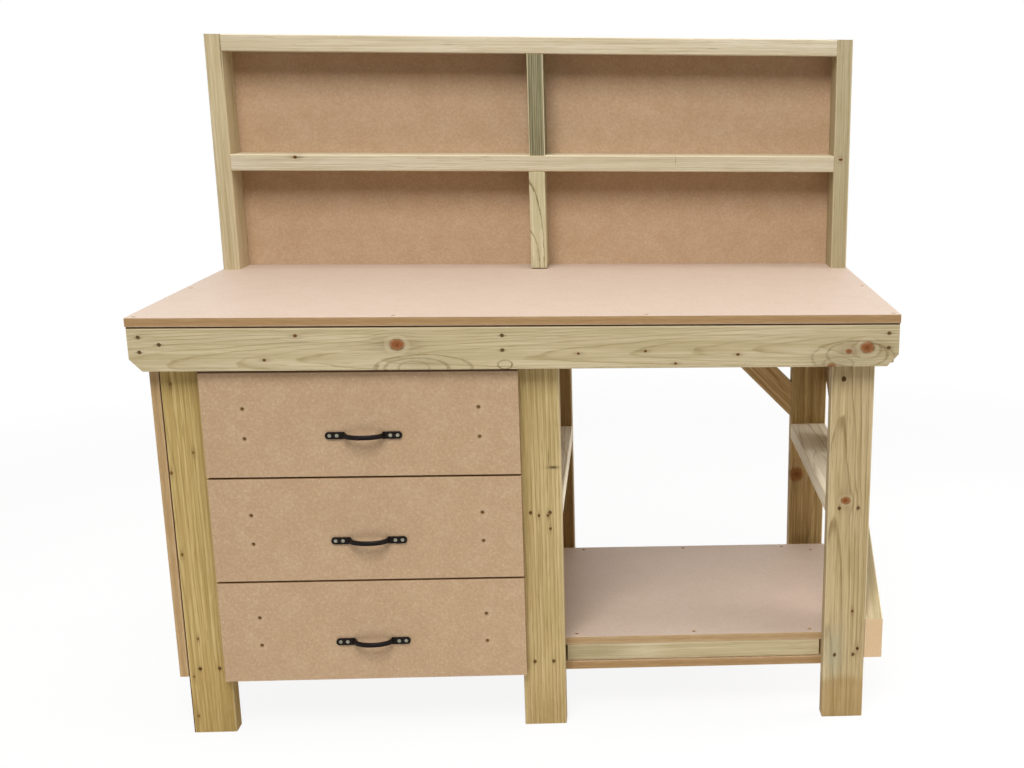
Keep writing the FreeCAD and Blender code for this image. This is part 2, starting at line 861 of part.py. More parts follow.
worktop_inset = size("worktop_screw_inset")
worktop_screw_left = worktop_x[0] + worktop_inset
worktop_screw_run = worktop_x[1] - worktop_inset - worktop_screw_left
for step in (0, 1, 2, 3):
    x = worktop_screw_left + worktop_screw_run * step / 3
    board_screws.append(sunk_screw("board_screw", "-z", (x, worktop_y[0] + worktop_inset, worktop_top)))
for x in (worktop_screw_left, worktop_screw_left + worktop_screw_run):
    board_screws.append(sunk_screw("board_screw", "-z", (x, centre(worktop_y), worktop_top)))

shelf_top = bottom_brace_top + board
shelf_screw_left = shelf_rail_x[0] + size("shelf_end_screw_inset")
shelf_screw_run = shelf_rail_x[1] - size("shelf_end_screw_inset") - shelf_screw_left
for y in (shelf_y[0] + size("shelf_screw_inset"), shelf_y[1] - size("shelf_screw_inset")):
    for step in (0, 1, 2):
        x = shelf_screw_left + shelf_screw_run * step / 2
        board_screws.append(sunk_screw("board_screw", "-z", (x, y, shelf_top)))
edge_screw = (
    right_leg_outer - size("shelf_edge_screw_inset"),
    shelf_y[1] - size("shelf_edge_screw_set_back"),
    shelf_top,
)
board_screws.append(sunk_screw("board_screw", "-z", edge_screw))

panel_inset = size("panel_screw_inset")
panel_run = apron_bottom - size("side_panel_height") - panel_inset * 2
for y in LEGS_Y.values():
    for step in (0, 1, 2):
        z = size("side_panel_height") + panel_inset + panel_run * step / 2
        spot = (left_leg_outer - board, centre(y), z)
        board_screws.append(sunk_screw("board_screw", "+x", spot))

back_run = unit_top - worktop_top - panel_inset * 2
for x in UPRIGHTS_X.values():
    for step in (0, 1, 2):
        z = worktop_top + panel_inset + back_run * step / 2
        board_screws.append(sunk_screw("board_screw", "-y", (centre(x), back_panel_y[1], z)))
back_screw_left = left_face + size("back_screw_inset")
back_screw_run = size("bench_width") - size("back_screw_inset") * 2
for z in (centre(rail_height), shelf_middle, top_rail_middle):
    for step in (0, 1, 2, 3):
        x = back_screw_left + back_screw_run * step / 3
        board_screws.append(sunk_screw("board_screw", "-y", (x, back_panel_y[1], z)))

# Screws of the runners and the drawers

RUNNER_SCREW_Y = (
    runner_y + size("runner_screw_inset"),
    runner_y + size("runner_length") / 2,
    runner_y + size("runner_length") - size("runner_screw_inset"),
)
runner_screws = []
DRAWER_SCREWS = {}
for number in DRAWERS:
    low = DRAWER_BOTTOM[number]
    z = low + size("runner_centre")
    screws = []
    for side, (face, outwards) in BAY_SIDES.items():
        to_bench, to_drawer = ("-x", "+x") if side == "left" else ("+x", "-x")
        for y in RUNNER_SCREW_Y:
            runner_screws.append(pan_screw(to_bench, (face + outwards * plate, y, z)))
            strip_x = face + outwards * (size("runner_depth") - plate)
            screws.append(pan_screw(to_drawer, (strip_x, y, z)))
    front_screw_x = size("front_screw_half_spacing")
    for x in (drawer_centre - front_screw_x, drawer_centre + front_screw_x):
        for height in (size("front_screw_low"), size("front_screw_high")):
            screws.append(sunk_screw("front_screw", "+y", (x, front_board_y[0], low + height)))
    box_low = low + size("drawer_box_lift") + size("drawer_bottom_thickness")
    box_inset = size("box_screw_inset")
    for x, into in ((box_x[0], "+x"), (box_x[1], "-x")):
        for y in (box_y[0] + side_thickness / 2, box_y[1] - side_thickness / 2):
            for height in (box_inset, size("drawer_box_height") - box_inset):
                screws.append(sunk_screw("box_screw", into, (x, y, box_low + height)))
    first = size("handle_length") / 2 - size("handle_screw_inset")
    for outwards in (-1, 1):
        for offset in (first, first - size("handle_screw_spacing")):
            spot = (
                HANDLE_X[number] + outwards * offset,
                front_board_y[0] - size("lug_thickness"),
                low + size("handle_height_on_front"),
            )
            screws.append(sunk_screw("handle_screw", "+y", spot, flush=True))
    DRAWER_SCREWS[number] = screws

# Nodes

fixed_screws = frame_screws + board_screws + runner_screws
for name, piece in FRAME.items():
    node(name, bored(piece, fixed_screws))
node("runner_bearers", together([bored(piece, fixed_screws) for piece in bearers]))
node("runner_fixed_channels", together([bored(piece, runner_screws) for piece in fixed_channels]))
node("frame_screws", together([screw for screw, _ in frame_screws]))
node("board_screws", together([screw for screw, _ in board_screws]))
node("runner_screws", together([screw for screw, _ in runner_screws]))

for number in DRAWERS:
    pieces = DRAWER_PIECES[number]
    screws = DRAWER_SCREWS[number]
    node(f"drawer_{number}_front", bored(pieces["front"], screws))
    node(f"drawer_{number}_box_sides", together([bored(piece, screws) for piece in pieces["sides"]]))
    node(f"drawer_{number}_box_ends", together([bored(piece, screws) for piece in pieces["ends"]]))
    node(f"drawer_{number}_bottom", pieces["bottom"])
    node(f"drawer_{number}_handle", bored(pieces["handle"], screws))
    strips = [bored(strip, screws) for strip in RUNNER_STRIPS[number]]
    node(f"drawer_{number}_runner_strips", together(strips))
    node(f"drawer_{number}_screws", together([screw for screw, _ in screws]))
    node(f"drawer_{number}_middle_slides", together(MIDDLE_SLIDES[number]))

document.recompute()

# Checks, then one file for each node

for item in document.Objects:
    if "Invalid" in item.State or "Error" in item.State:
        raise RuntimeError(f"{item.Label} failed: {item.State}")
for name, piece in NODES.items():
    if piece.Shape.isNull() or not piece.Shape.isValid() or not piece.Shape.Solids:
        raise RuntimeError(f"{name} has no valid solid")

os.makedirs("parts", exist_ok=True)
for name, piece in NODES.items():
    piece.Shape.exportStep(f"parts/{name}.step")
whole = Part.makeCompound([piece.Shape for piece in NODES.values()]).BoundBox
print(f"{len(NODES)} nodes, {whole.XLength:.1f} x {whole.YLength:.1f} x {whole.ZLength:.1f} mm")
print(f"centre {whole.Center.x:.2f}, {whole.Center.y:.2f}, floor {whole.ZMin:.2f}")
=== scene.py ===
# %% [markdown]
# # A timber workbench with drawers, dressed in Blender
#
# The bench itself comes from the workshop drawing: every leg, rail, board and runner
# is already there as a solid of the right size, in the right place. This lesson does what is
# left, which is everything the eye judges it by: the light, the camera, the look
# of planed pine, raw fibreboard, black iron and zinc, and real screw heads.

# %% Load the bench, with a measure for the box of each part
import math
import random

import bmesh
import bpy
from mathutils import Matrix, Vector


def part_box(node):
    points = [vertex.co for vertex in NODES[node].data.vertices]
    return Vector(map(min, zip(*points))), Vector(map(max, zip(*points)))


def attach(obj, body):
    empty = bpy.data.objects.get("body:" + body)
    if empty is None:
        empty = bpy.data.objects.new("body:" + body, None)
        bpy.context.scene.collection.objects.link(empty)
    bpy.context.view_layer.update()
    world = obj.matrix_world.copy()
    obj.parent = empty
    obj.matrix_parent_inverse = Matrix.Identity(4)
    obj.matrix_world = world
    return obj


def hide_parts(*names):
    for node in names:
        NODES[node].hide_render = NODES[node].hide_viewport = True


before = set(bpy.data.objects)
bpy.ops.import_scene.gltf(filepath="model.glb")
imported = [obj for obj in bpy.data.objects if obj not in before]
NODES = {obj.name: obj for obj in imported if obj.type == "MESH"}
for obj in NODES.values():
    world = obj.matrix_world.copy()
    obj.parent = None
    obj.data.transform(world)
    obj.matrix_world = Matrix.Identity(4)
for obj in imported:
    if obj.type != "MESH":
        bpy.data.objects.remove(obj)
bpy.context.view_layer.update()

MM = 0.001
DRAWERS = (1, 2, 3)

# %% [markdown]
# ## The camera
#
# The picture of the bench is a crop from a larger frame, so the lens does not look through its
# middle. The lens, its place and its turn were found from the straight edges of the bench.
# A lens shift puts the middle of the lens where it was, without bending the upright
# lines, and the three angles are turned into the camera's own right, up and back directions.

# %% Camera
PICTURE_WIDTH = 1024
PICTURE_HEIGHT = 768
SENSOR_WIDTH = 36
LENS_PIXELS = 1332.65
LENS_MIDDLE_X = 715
LENS_MIDDLE_Y = 425
CAMERA_PLACE = Vector((0.20156, -2.98505, 1.36066))
CAMERA_YAW = 0.07044
CAMERA_PITCH = -0.25681
CAMERA_ROLL = 0.00752


def add_camera():
    lens = bpy.data.cameras.new("camera")
    lens.sensor_width = SENSOR_WIDTH
    lens.lens = LENS_PIXELS * SENSOR_WIDTH / PICTURE_WIDTH
    lens.shift_x = (PICTURE_WIDTH / 2 - LENS_MIDDLE_X) / PICTURE_WIDTH
    lens.shift_y = (LENS_MIDDLE_Y - PICTURE_HEIGHT / 2) / PICTURE_WIDTH
    lens.clip_start = 0.05
    lens.clip_end = 200
    camera = bpy.data.objects.new("camera", lens)
    bpy.context.scene.collection.objects.link(camera)

    forward = Vector((
        math.sin(CAMERA_YAW) * math.cos(CAMERA_PITCH),
        math.cos(CAMERA_YAW) * math.cos(CAMERA_PITCH),
        math.sin(CAMERA_PITCH),
    ))
    level_right = Vector((math.cos(CAMERA_YAW), -math.sin(CAMERA_YAW), 0))
    level_up = level_right.cross(forward)
    right = level_right * math.cos(CAMERA_ROLL) + level_up * math.sin(CAMERA_ROLL)
    up = level_up * math.cos(CAMERA_ROLL) - level_right * math.sin(CAMERA_ROLL)
    turn = Matrix((right, up, -forward)).transposed()
    camera.matrix_world = Matrix.Translation(CAMERA_PLACE) @ turn.to_4x4()
    bpy.context.scene.camera = camera
    return camera


camera = add_camera()
print("camera at", tuple(round(value, 3) for value in camera.location))

# %% [markdown]
# ## Writing a finish as sums
#
# A material is a web of nodes, and most of them are arithmetic: rings are a distance
# divided by a gap, wear is one mask times another. Wiring that by hand hides the
# thought, so a `Wire` wraps one output of a node and lets Python's own signs add the nodes.
# A sum of numbers becomes a Math node. A sum with a vector in it becomes a Vector Math node.
# A `Web` is any tree of nodes. A `Finish` is the web of one material.

# %% Wires and finishes


class Wire:
    """One output of a node that can take part in sums."""

    def __init__(self, web, socket):
        self.web = web
        self.socket = socket

    def __add__(self, other):
        return self.web.maths("ADD", self, other)

    def __radd__(self, other):
        return self.web.maths("ADD", other, self)

    def __sub__(self, other):
        return self.web.maths("SUBTRACT", self, other)

    def __rsub__(self, other):
        return self.web.maths("SUBTRACT", other, self)

    def __mul__(self, other):
        return self.web.maths("MULTIPLY", self, other)

    def __rmul__(self, other):
        return self.web.maths("MULTIPLY", other, self)

    def __truediv__(self, other):
        return self.web.maths("DIVIDE", self, other)


class Web:
    """A tree of nodes that are added one by one and wired from Python's own sums."""

    def __init__(self, tree):
        self.nodes = tree.nodes
        self.links = tree.links
        self.nodes.clear()

    def node(self, kind, settings=None, inputs=None, output=0):
        """Adds a node: its settings first, then its sockets. Gives one output as a wire."""
        node = self.nodes.new(kind)
        for setting, value in (settings or {}).items():
            if setting == "stops":
                set_stops(node.color_ramp, value)
            else:
                setattr(node, setting, value)
        for socket, value in (inputs or {}).items():
            if isinstance(value, Wire):
                self.links.new(value.socket, node.inputs[socket])
            else:
                node.inputs[socket].default_value = value
        return Wire(self, node.outputs[output])

    def maths(self, operation, *terms):
        if any(is_vector(term) for term in terms):
            spread_terms = dict(enumerate(spread(term) for term in terms))
            return self.node("ShaderNodeVectorMath", {"operation": operation}, spread_terms)
        return self.node("ShaderNodeMath", {"operation": operation}, dict(enumerate(terms)))

    def measure(self, operation, *vectors):
        """A number that is taken from vectors, such as a length or a distance."""
        settings = {"operation": operation}
        return self.node("ShaderNodeVectorMath", settings, dict(enumerate(vectors)), "Value")

    def larger(self, first, second):
        return self.maths("MAXIMUM", first, second)

    def smaller(self, first, second):
        return self.maths("MINIMUM", first, second)

    def size_of(self, number):
        return self.maths("ABSOLUTE", number)

    def step(self, number, low, high):
        """Rises softly from 0 to 1 while the number goes from low to high."""
        return self.node(
            "ShaderNodeMapRange",
            {"interpolation_type": "SMOOTHSTEP"},
            {"Value": number, "From Min": low, "From Max": high},
        )

    def noise(self, place, scale=1.0, detail=2.0, rough=0.5, output=0):
        return self.node(
            "ShaderNodeTexNoise", None,
            {"Vector": place, "Scale": scale, "Detail": detail, "Roughness": rough}, output,
        )

    def blend(self, share, first, second):
        """Mixes two colours: share 0 gives the first, 1 the second."""
        return self.node("ShaderNodeMix", {"data_type": "RGBA"}, {0: share, 6: first, 7: second}, 2)

    def parts(self, vector):
        return [self.node("ShaderNodeSeparateXYZ", None, {0: vector}, axis) for axis in range(3)]


class Finish(Web):
    """A material, from its pattern to its shader."""

    def __init__(self, name):
        self.material = bpy.data.materials.new(name)
        self.material.use_nodes = True
        super().__init__(self.material.node_tree)

    def place_on(self, middle, turn=(0, 0, 0)):
        """Object coordinates counted from a piece's middle and turned to lie along it."""
        here = self.node("ShaderNodeTexCoord", None, None, "Object")
        return self.node(
            "ShaderNodeMapping", {"vector_type": "TEXTURE"},
            {"Vector": here, "Location": middle, "Rotation": turn},
        )

    def close(self, colour, roughness, height=None, depth=0.0, **constants):
        """Puts the shader and the output on the pattern's ends."""
        inputs = {"Base Color": colour, "Roughness": roughness}
        inputs.update({name.replace("_", " "): value for name, value in constants.items()})
        if height is not None:
            inputs["Normal"] = self.node("ShaderNodeBump", None, {"Height": height, "Distance": depth})
        shader = self.node("ShaderNodeBsdfPrincipled", None, inputs)
        self.node_output(shader)
        return self.material

    def node_output(self, shader):
        output = self.nodes.new("ShaderNodeOutputMaterial")
        self.links.new(shader.socket, output.inputs["Surface"])


def is_vector(term):
    return isinstance(term, (tuple, Vector)) or (isinstance(term, Wire) and term.socket.type == "VECTOR")


def spread(term):
    """A number that joins a vector sum is used for all three parts."""
    return (term, term, term) if isinstance(term, (int, float)) else term


def set_stops(ramp, stops):
    while len(ramp.elements) > 1:
        ramp.elements.remove(ramp.elements[-1])
    ramp.elements[0].position = stops[0][0]
    ramp.elements[0].color = grey(stops[0][1])
    for position, level in stops[1:]:
        ramp.elements.new(position).color = grey(level)


def grey(level):
    return (level, level, level, 1)


def paint(red, green, blue):
    """A colour as a picture shows it, 0 to 255, turned into the light that a shader works in."""
    linear = []
    for value in (red, green, blue):
        share = value / 255
        linear.append(share / 12.92 if share <= 0.04045 else ((share + 0.055) / 1.055) ** 2.4)
    return (*linear, 1)


print("finishes are written as sums of wires")

# %% [markdown]
# ## Floor, background and light
#
# The bench was cut out onto plain white. Here it stands on a wide pale floor, which is
# partly lit and partly plain white for the eye alone, so it looks as white as the paper and
# still keeps a soft shadow. Far from the bench the floor is all white for the eye and dark for
# plain light, so little light comes up under the rails, as on the real floor of a room.
# The sky is brighter behind than in front. Three soft lamps light the bench: a large one in
# front, one overhead, because the worktop is half as bright again as the drawers, and a weaker
# one low on the right, which the side brace and the open bay catch.

# %% Stage
FLOOR_HALF = 40.0
FLOOR_CORNERS = ((-1, -1), (1, -1), (1, 1), (-1, 1))
FLOOR_PAPER = (244, 243, 241)
FLOOR_FAR = (60, 60, 60)
FLOOR_WHITE_SHARE = 0.90
FLOOR_PLAIN_FROM = 1.4
FLOOR_PLAIN_TO = 3.6
SKY_BEHIND = 0.85
SKY_IN_FRONT = 0.08
KEY_POWER = 155.0
TOP_POWER = 58.0
SIDE_POWER = 60.0


def seen_directly(finish):
    """1 for the camera, a mirror or a glass, which look at the background, and 0 for plain light."""
    path = finish.nodes.new("ShaderNodeLightPath")
    ray_names = ("Is Camera Ray", "Is Glossy Ray", "Is Transmission Ray")
    camera_ray, glossy_ray, through_ray = (Wire(finish, path.outputs[name]) for name in ray_names)
    return finish.larger(finish.larger(camera_ray, glossy_ray), through_ray)


def add_floor():
    mesh = bpy.data.meshes.new("floor")
    corners = [(x * FLOOR_HALF, y * FLOOR_HALF, 0) for x, y in FLOOR_CORNERS]
    mesh.from_pydata(corners, [], [(0, 1, 2, 3)])
    floor = bpy.data.objects.new("floor", mesh)
    bpy.context.scene.collection.objects.link(floor)
    finish = Finish("floor_paint")
    from_bench = finish.measure("LENGTH", finish.place_on((0, 0, 0)))
    away = finish.step(from_bench, FLOOR_PLAIN_FROM, FLOOR_PLAIN_TO)
    paper = finish.blend(away, paint(*FLOOR_PAPER), paint(*FLOOR_FAR))
    lit = finish.node("ShaderNodeBsdfDiffuse", None, {"Color": paper})
    plain = finish.node("ShaderNodeEmission", None, {"Color": grey(1.0), "Strength": 1.0})
    share = seen_directly(finish) * (FLOOR_WHITE_SHARE + away * (1 - FLOOR_WHITE_SHARE))
    finish.node_output(finish.node("ShaderNodeMixShader", None, {0: share, 1: lit, 2: plain}))
    mesh.materials.append(finish.material)


def add_sky():
    world = bpy.data.worlds.new("sky")
    bpy.context.scene.world = world
    world.use_nodes = True
    sky = Web(world.node_tree)
    toward_back = sky.parts(sky.node("ShaderNodeTexCoord", None, None, "Generated"))[1] * 0.5 + 0.5
    plain_light = SKY_IN_FRONT + toward_back * (SKY_BEHIND - SKY_IN_FRONT)
    level = sky.larger(plain_light, seen_directly(sky))
    light = sky.node("ShaderNodeBackground", None, {"Color": grey(1.0), "Strength": level})
    output = sky.nodes.new("ShaderNodeOutputWorld")
    sky.links.new(light.socket, output.inputs["Surface"])


def add_soft_lamp(name, place, aim, size, power):
    lamp = bpy.data.lights.new(name, "AREA")
    lamp.shape = "SQUARE"
    lamp.size = size
    lamp.energy = power
    holder = bpy.data.objects.new(name, lamp)
    bpy.context.scene.collection.objects.link(holder)
    holder.location = place
    holder.rotation_euler = (Vector(aim) - Vector(place)).to_track_quat("-Z", "Y").to_euler()


add_floor()
add_sky()
add_soft_lamp("key_lamp", (-0.4, -3.0, 4.1), (0, 0, 0.7), 2.0, KEY_POWER)
add_soft_lamp("top_lamp", (0.2, -0.5, 4.6), (0, 0, 0.9), 2.0, TOP_POWER)
add_soft_lamp("side_lamp", (3.4, 0.3, 1.3), (0.6, 0, 0.5), 1.4, SIDE_POWER)
bpy.context.scene.view_settings.view_transform = "Standard"
print("floor, sky and three soft lamps")

# %% [markdown]
# ## Where the screws are
#
# The drawing holds every screw as a plain cone on a shank, joined into a few sets. Each
# set is taken apart into its loose islands. The wide end of an island is the head, and its
# longest side is the way the screw points. The list serves twice: new heads
# with a cross recess go there, and the wood around each hole is darkened and a little split.

# %% Find the screws
LENGTHWISE_SLACK = 0.05 * MM
SHORT_SCREW = 15 * MM


def islands(mesh):
    """Groups the vertices of a bmesh that hang together."""
    waiting = set(mesh.verts)
    while waiting:
        group, edge = set(), [waiting.pop()]
        while edge:
            vertex = edge.pop()
            group.add(vertex)
            near = {link.other_vert(vertex) for link in vertex.link_edges} & waiting
            waiting -= near
            edge.extend(near)
        yield [vertex.co.copy() for vertex in group]


def read_screw(points):
    low = Vector([min(point[axis] for point in points) for axis in range(3)])
    high = Vector([max(point[axis] for point in points) for axis in range(3)])
    size = high - low
    axis = max(range(3), key=lambda number: size[number])
    middle = (low + high) / 2

    def reach(point):
        side = point - middle
        side[axis] = 0
        return side.length

    at_low = max(reach(point) for point in points if point[axis] < low[axis] + LENGTHWISE_SLACK)
    at_high = max(reach(point) for point in points if point[axis] > high[axis] - LENGTHWISE_SLACK)
    outwards = Vector((0, 0, 0))
    outwards[axis] = 1 if at_high > at_low else -1
    head = middle.copy()
    head[axis] = high[axis] if at_high > at_low else low[axis]
    return {"head": head, "out": outwards, "length": size[axis], "pan": size[axis] < SHORT_SCREW}


def screws_in(node):
    mesh = bmesh.new()
    mesh.from_mesh(NODES[node].data)
    bmesh.ops.remove_doubles(mesh, verts=mesh.verts, dist=1e-6)
    found = [read_screw(points) for points in islands(mesh)]
    mesh.free()
    found.sort(key=lambda screw: tuple(round(value, 4) for value in screw["head"]))
    return found


SCREWS = {name: screws_in(name) for name in sorted(NODES) if name.endswith("_screws")}
for name, screws in SCREWS.items():
    print(name, len(screws), "screws,", sum(screw["pan"] for screw in screws), "with pan heads")

# %% [markdown]
# ## Planed pine
#
# The frame is pressure treated pine. A plank is cut from a trunk, so its grain is not
# a picture glued on each face: it is one set of growth rings that every face slices. The finish
# works the same way. For each plank it measures the distance from the pith, a line that
# runs beside the plank, and turns that distance into pale spring wood and dark summer wood.
# A pith that leans a little through the plank gives the pointed arches on broad faces.

# %% Rings around a pith
RING_PROFILE = ((0.0, 0.0), (0.55, 0.04), (0.80, 0.32), (0.90, 1.0), (0.96, 0.9), (1.0, 0.0))
WANDER_REACH = 12 * MM
WAVER_REACH = 2.0 * MM


def growth_rings(finish, place, look, seed):
    """Gives 0 in spring wood and 1 in summer wood. Pith and lean are (across, through)."""
    half = (0.5, 0.5, 0.5)
    drift = finish.noise(place * (0.9, 2.0, 2.0) + (seed, 0, 0), 1.0, 1.0, output="Color") - half
    waver = finish.noise(place * (8.0, 42.0, 42.0) + (0, seed, 0), 1.0, 2.0, output="Color") - half
    moved = place + drift * (0, 2 * WANDER_REACH, 2 * WANDER_REACH)
    moved = moved + waver * (0, 2 * WAVER_REACH, 2 * WAVER_REACH)
    along, across, through = finish.parts(moved)
    from_pith = finish.node("ShaderNodeCombineXYZ", None, {
        0: 0.0,
        1: across - look["pith"][0] * MM - along * look["lean"][0],
        2: through - look["pith"][1] * MM - along * look["lean"][1],
    })
    count = finish.measure("LENGTH", from_pith) / (look["gap"] * MM)
    year = finish.noise(count * (0.37, 0.0, 0.0) + (0, 0, seed), 1.0, 0.0)
    ring = finish.maths("FRACT", count + year)
    return finish.node("ShaderNodeValToRGB", {"stops": RING_PROFILE}, {0: ring})


# %% [markdown]
# A knot is the root of a branch that the plank cut through. The rings flow round it like water
# round a stone, its core is red brown with a dark rim, and the wood beside it is paler.
# Every mark is an oval: squared distance from its middle, 1 on its rim. Near a knot
# the plank's coordinates are pushed aside before the rings are drawn, and the core is
# painted afterwards. A split is the same oval drawn out very thin along the grain,
# a stain is a wide soft one, a hole or a painted shadow in a gap is a hard one, and a ring is only its
# rim.

# %% Marks in the wood
KNOT_FLOW = 0.92
FLOW_REACH = (0.32, 0.5, 0.5)
SMUDGE_REACH = (0.3, 0.8, 0.8)
LINE_REACH = 1.7
HOLE_SHADE = paint(52, 36, 18)
# Painted shadow: the dark colour drawn into the gaps between parts, where shade falls.
PAINTED_GAP_SHADOW = paint(70, 36, 6)
KNOT_SHADE = paint(96, 60, 26)
# Pale wood round a knot, and a painted highlight on the eased long edges.
KNOT_HALO_AND_ARRIS_HIGHLIGHT = paint(222, 208, 172)


def oval(finish, place, mark):
    offset = place - mark["spot"]
    scaled = offset * mark["scale"]
    return finish.measure("DOT_PRODUCT", scaled, scaled), offset


def fade(finish, squared):
    """1 in the middle of an oval, falling off like a bell."""
    return finish.maths("POWER", math.e, squared * -1.0)


def drawn_out(mark, factors):
    """The same oval with its scale changed, so that a factor under 1 makes it longer."""
    return dict(mark, scale=tuple(value * factor for value, factor in zip(mark["scale"], factors)))


def flow_round(finish, place, knots):
    moved = place
    for mark in knots:
        squared, offset = oval(finish, place, drawn_out(mark, FLOW_REACH))
        push = tuple(KNOT_FLOW if value and axis else 0 for axis, value in enumerate(mark["scale"]))
        moved = moved - offset * push * fade(finish, squared)
    return moved


def band(finish, number, middle, half_width):
    """1 where the number is near the middle of a band, 0 outside it."""
    return 1 - finish.step(finish.size_of(number - middle), half_width * 0.4, half_width)


def paint_knot(finish, place, colour, mark, ripple):
    squared, _ = oval(finish, place, mark)
    smudge, _ = oval(finish, place, drawn_out(mark, SMUDGE_REACH))
    colour = finish.blend(fade(finish, smudge) * 0.38, colour, KNOT_SHADE)
    far = finish.maths("SQRT", squared) + (ripple - 0.5) * 0.7
    colour = finish.blend(band(finish, far, 1.35, 0.45) * mark["strength"] * 0.22, colour, KNOT_HALO_AND_ARRIS_HIGHLIGHT)
    inside = finish.maths("FRACT", far * 2.3 + ripple * 0.8)
    heart = finish.blend(finish.step(inside, 0.45, 0.95) * 0.45, mark["colour"], KNOT_SHADE)
    heart = finish.blend((1 - finish.step(far, 0.10, 0.70)) * 0.6, heart, KNOT_SHADE)
    colour = finish.blend(1 - finish.step(far, 0.60, 1.20), colour, heart)
    rim = band(finish, far, 0.98, 0.26) * finish.step(ripple, 0.46, 0.64)
    return finish.blend(rim * 0.55, colour, KNOT_SHADE)


def paint_mark(finish, place, colour, mark, ripple):
    if mark["kind"] == "knot":
        return paint_knot(finish, place, colour, mark, ripple)
    squared, _ = oval(finish, place, mark)
    if mark["kind"] == "hole":
        share = (1 - finish.step(squared, 0.7, 1.3)) * mark["strength"]
    elif mark["kind"] == "ring":
        share = band(finish, finish.maths("SQRT", squared) + (ripple - 0.5) * 0.12, 1.0, mark["line"])
        share = share * (0.5 + finish.step(ripple, 0.36, 0.60) * 0.5) * mark["strength"]
    else:
        share = fade(finish, squared + (ripple - 0.5) * 0.9) * mark["strength"]
    return finish.blend(finish.node("ShaderNodeClamp", None, {0: share}), colour, mark["colour"])


def mark_on(turn, middle, kind, spot, reach, strength, colour):
    """Places a mark given in millimetres on the bench. None in its spot means right through."""
    bench_spot = Vector([level if value is None else value * MM for value, level in zip(spot, middle)])
    local = turn.transposed() @ (bench_spot - middle)
    open_way = turn.transposed() @ Vector([1.0 if value is None else 0.0 for value in spot])
    long_reach, short_reach = reach
    scale = [1 / (long_reach * MM), 1 / (short_reach * MM), 1 / (short_reach * MM)]
    scale = tuple(0.0 if abs(open_way[axis]) > 0.5 else scale[axis] for axis in range(3))
    line = LINE_REACH / short_reach
    return {
        "kind": kind, "spot": tuple(local), "scale": scale,
        "strength": strength, "colour": colour, "line": line,
    }


HOLE_SLACK = 1 * MM
TIMBER_HOLE_SHADE = paint(84, 60, 28)
BOARD_HOLE_SHADE = paint(122, 88, 58)
BOARD_HOLE_HALO = paint(222, 196, 164)


def holes_in(name, turn, middle, split_reach):
    """Screw holes that open on a piece, each darkened and, in timber, split along the grain."""
    low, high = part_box(name)
    marks = []
    for screw in (screw for screws in SCREWS.values() for screw in screws if not screw["pan"]):
        head = screw["head"]
        inside = all(low[axis] - HOLE_SLACK < head[axis] < high[axis] + HOLE_SLACK for axis in range(3))
        depth = min(abs(head.dot(screw["out"]) - edge.dot(screw["out"])) for edge in (low, high))
        if not inside or depth > HOLE_SLACK:
            continue
        spot = [None if abs(way) > 0.5 else value / MM for way, value in zip(screw["out"], head)]
        if split_reach:
            marks.append(mark_on(turn, middle, "split", spot, (split_reach, 1.7), 0.6, HOLE_SHADE))
            marks.append(mark_on(turn, middle, "hole", spot, (3.9, 3.7), 0.85, TIMBER_HOLE_SHADE))
        else:
            marks.append(mark_on(turn, middle, "stain", spot, (9.0, 9.0), 0.25, BOARD_HOLE_HALO))
            marks.append(mark_on(turn, middle, "stain", spot, (4.2, 4.2), 0.75, BOARD_HOLE_SHADE))
    return marks


print("rings and marks are ready")

# %% [markdown]
# ## One finish for each plank
#
# No two planks look the same: each has its own pith, its own green or yellow tint from the
# treatment, and its own knots. The planing machine eases the long edges, which carry
# a painted highlight, and the sawn ends show the rings as arcs in rougher, darker wood.

# %% The pine finish
EDGE_BAND = 3.4 * MM
END_BAND = 0.5 * MM
FIBRE_GRAIN = (16, 430, 430)
STREAK_GRAIN = (3.2, 230, 230)
STRIPE_GRAIN = (1.3, 64, 64)
PATCH_GRAIN = (3.4, 15, 15)
BREAK_GRAIN = (9, 60, 60)
RIPPLE_GRAIN = (70, 130, 130)


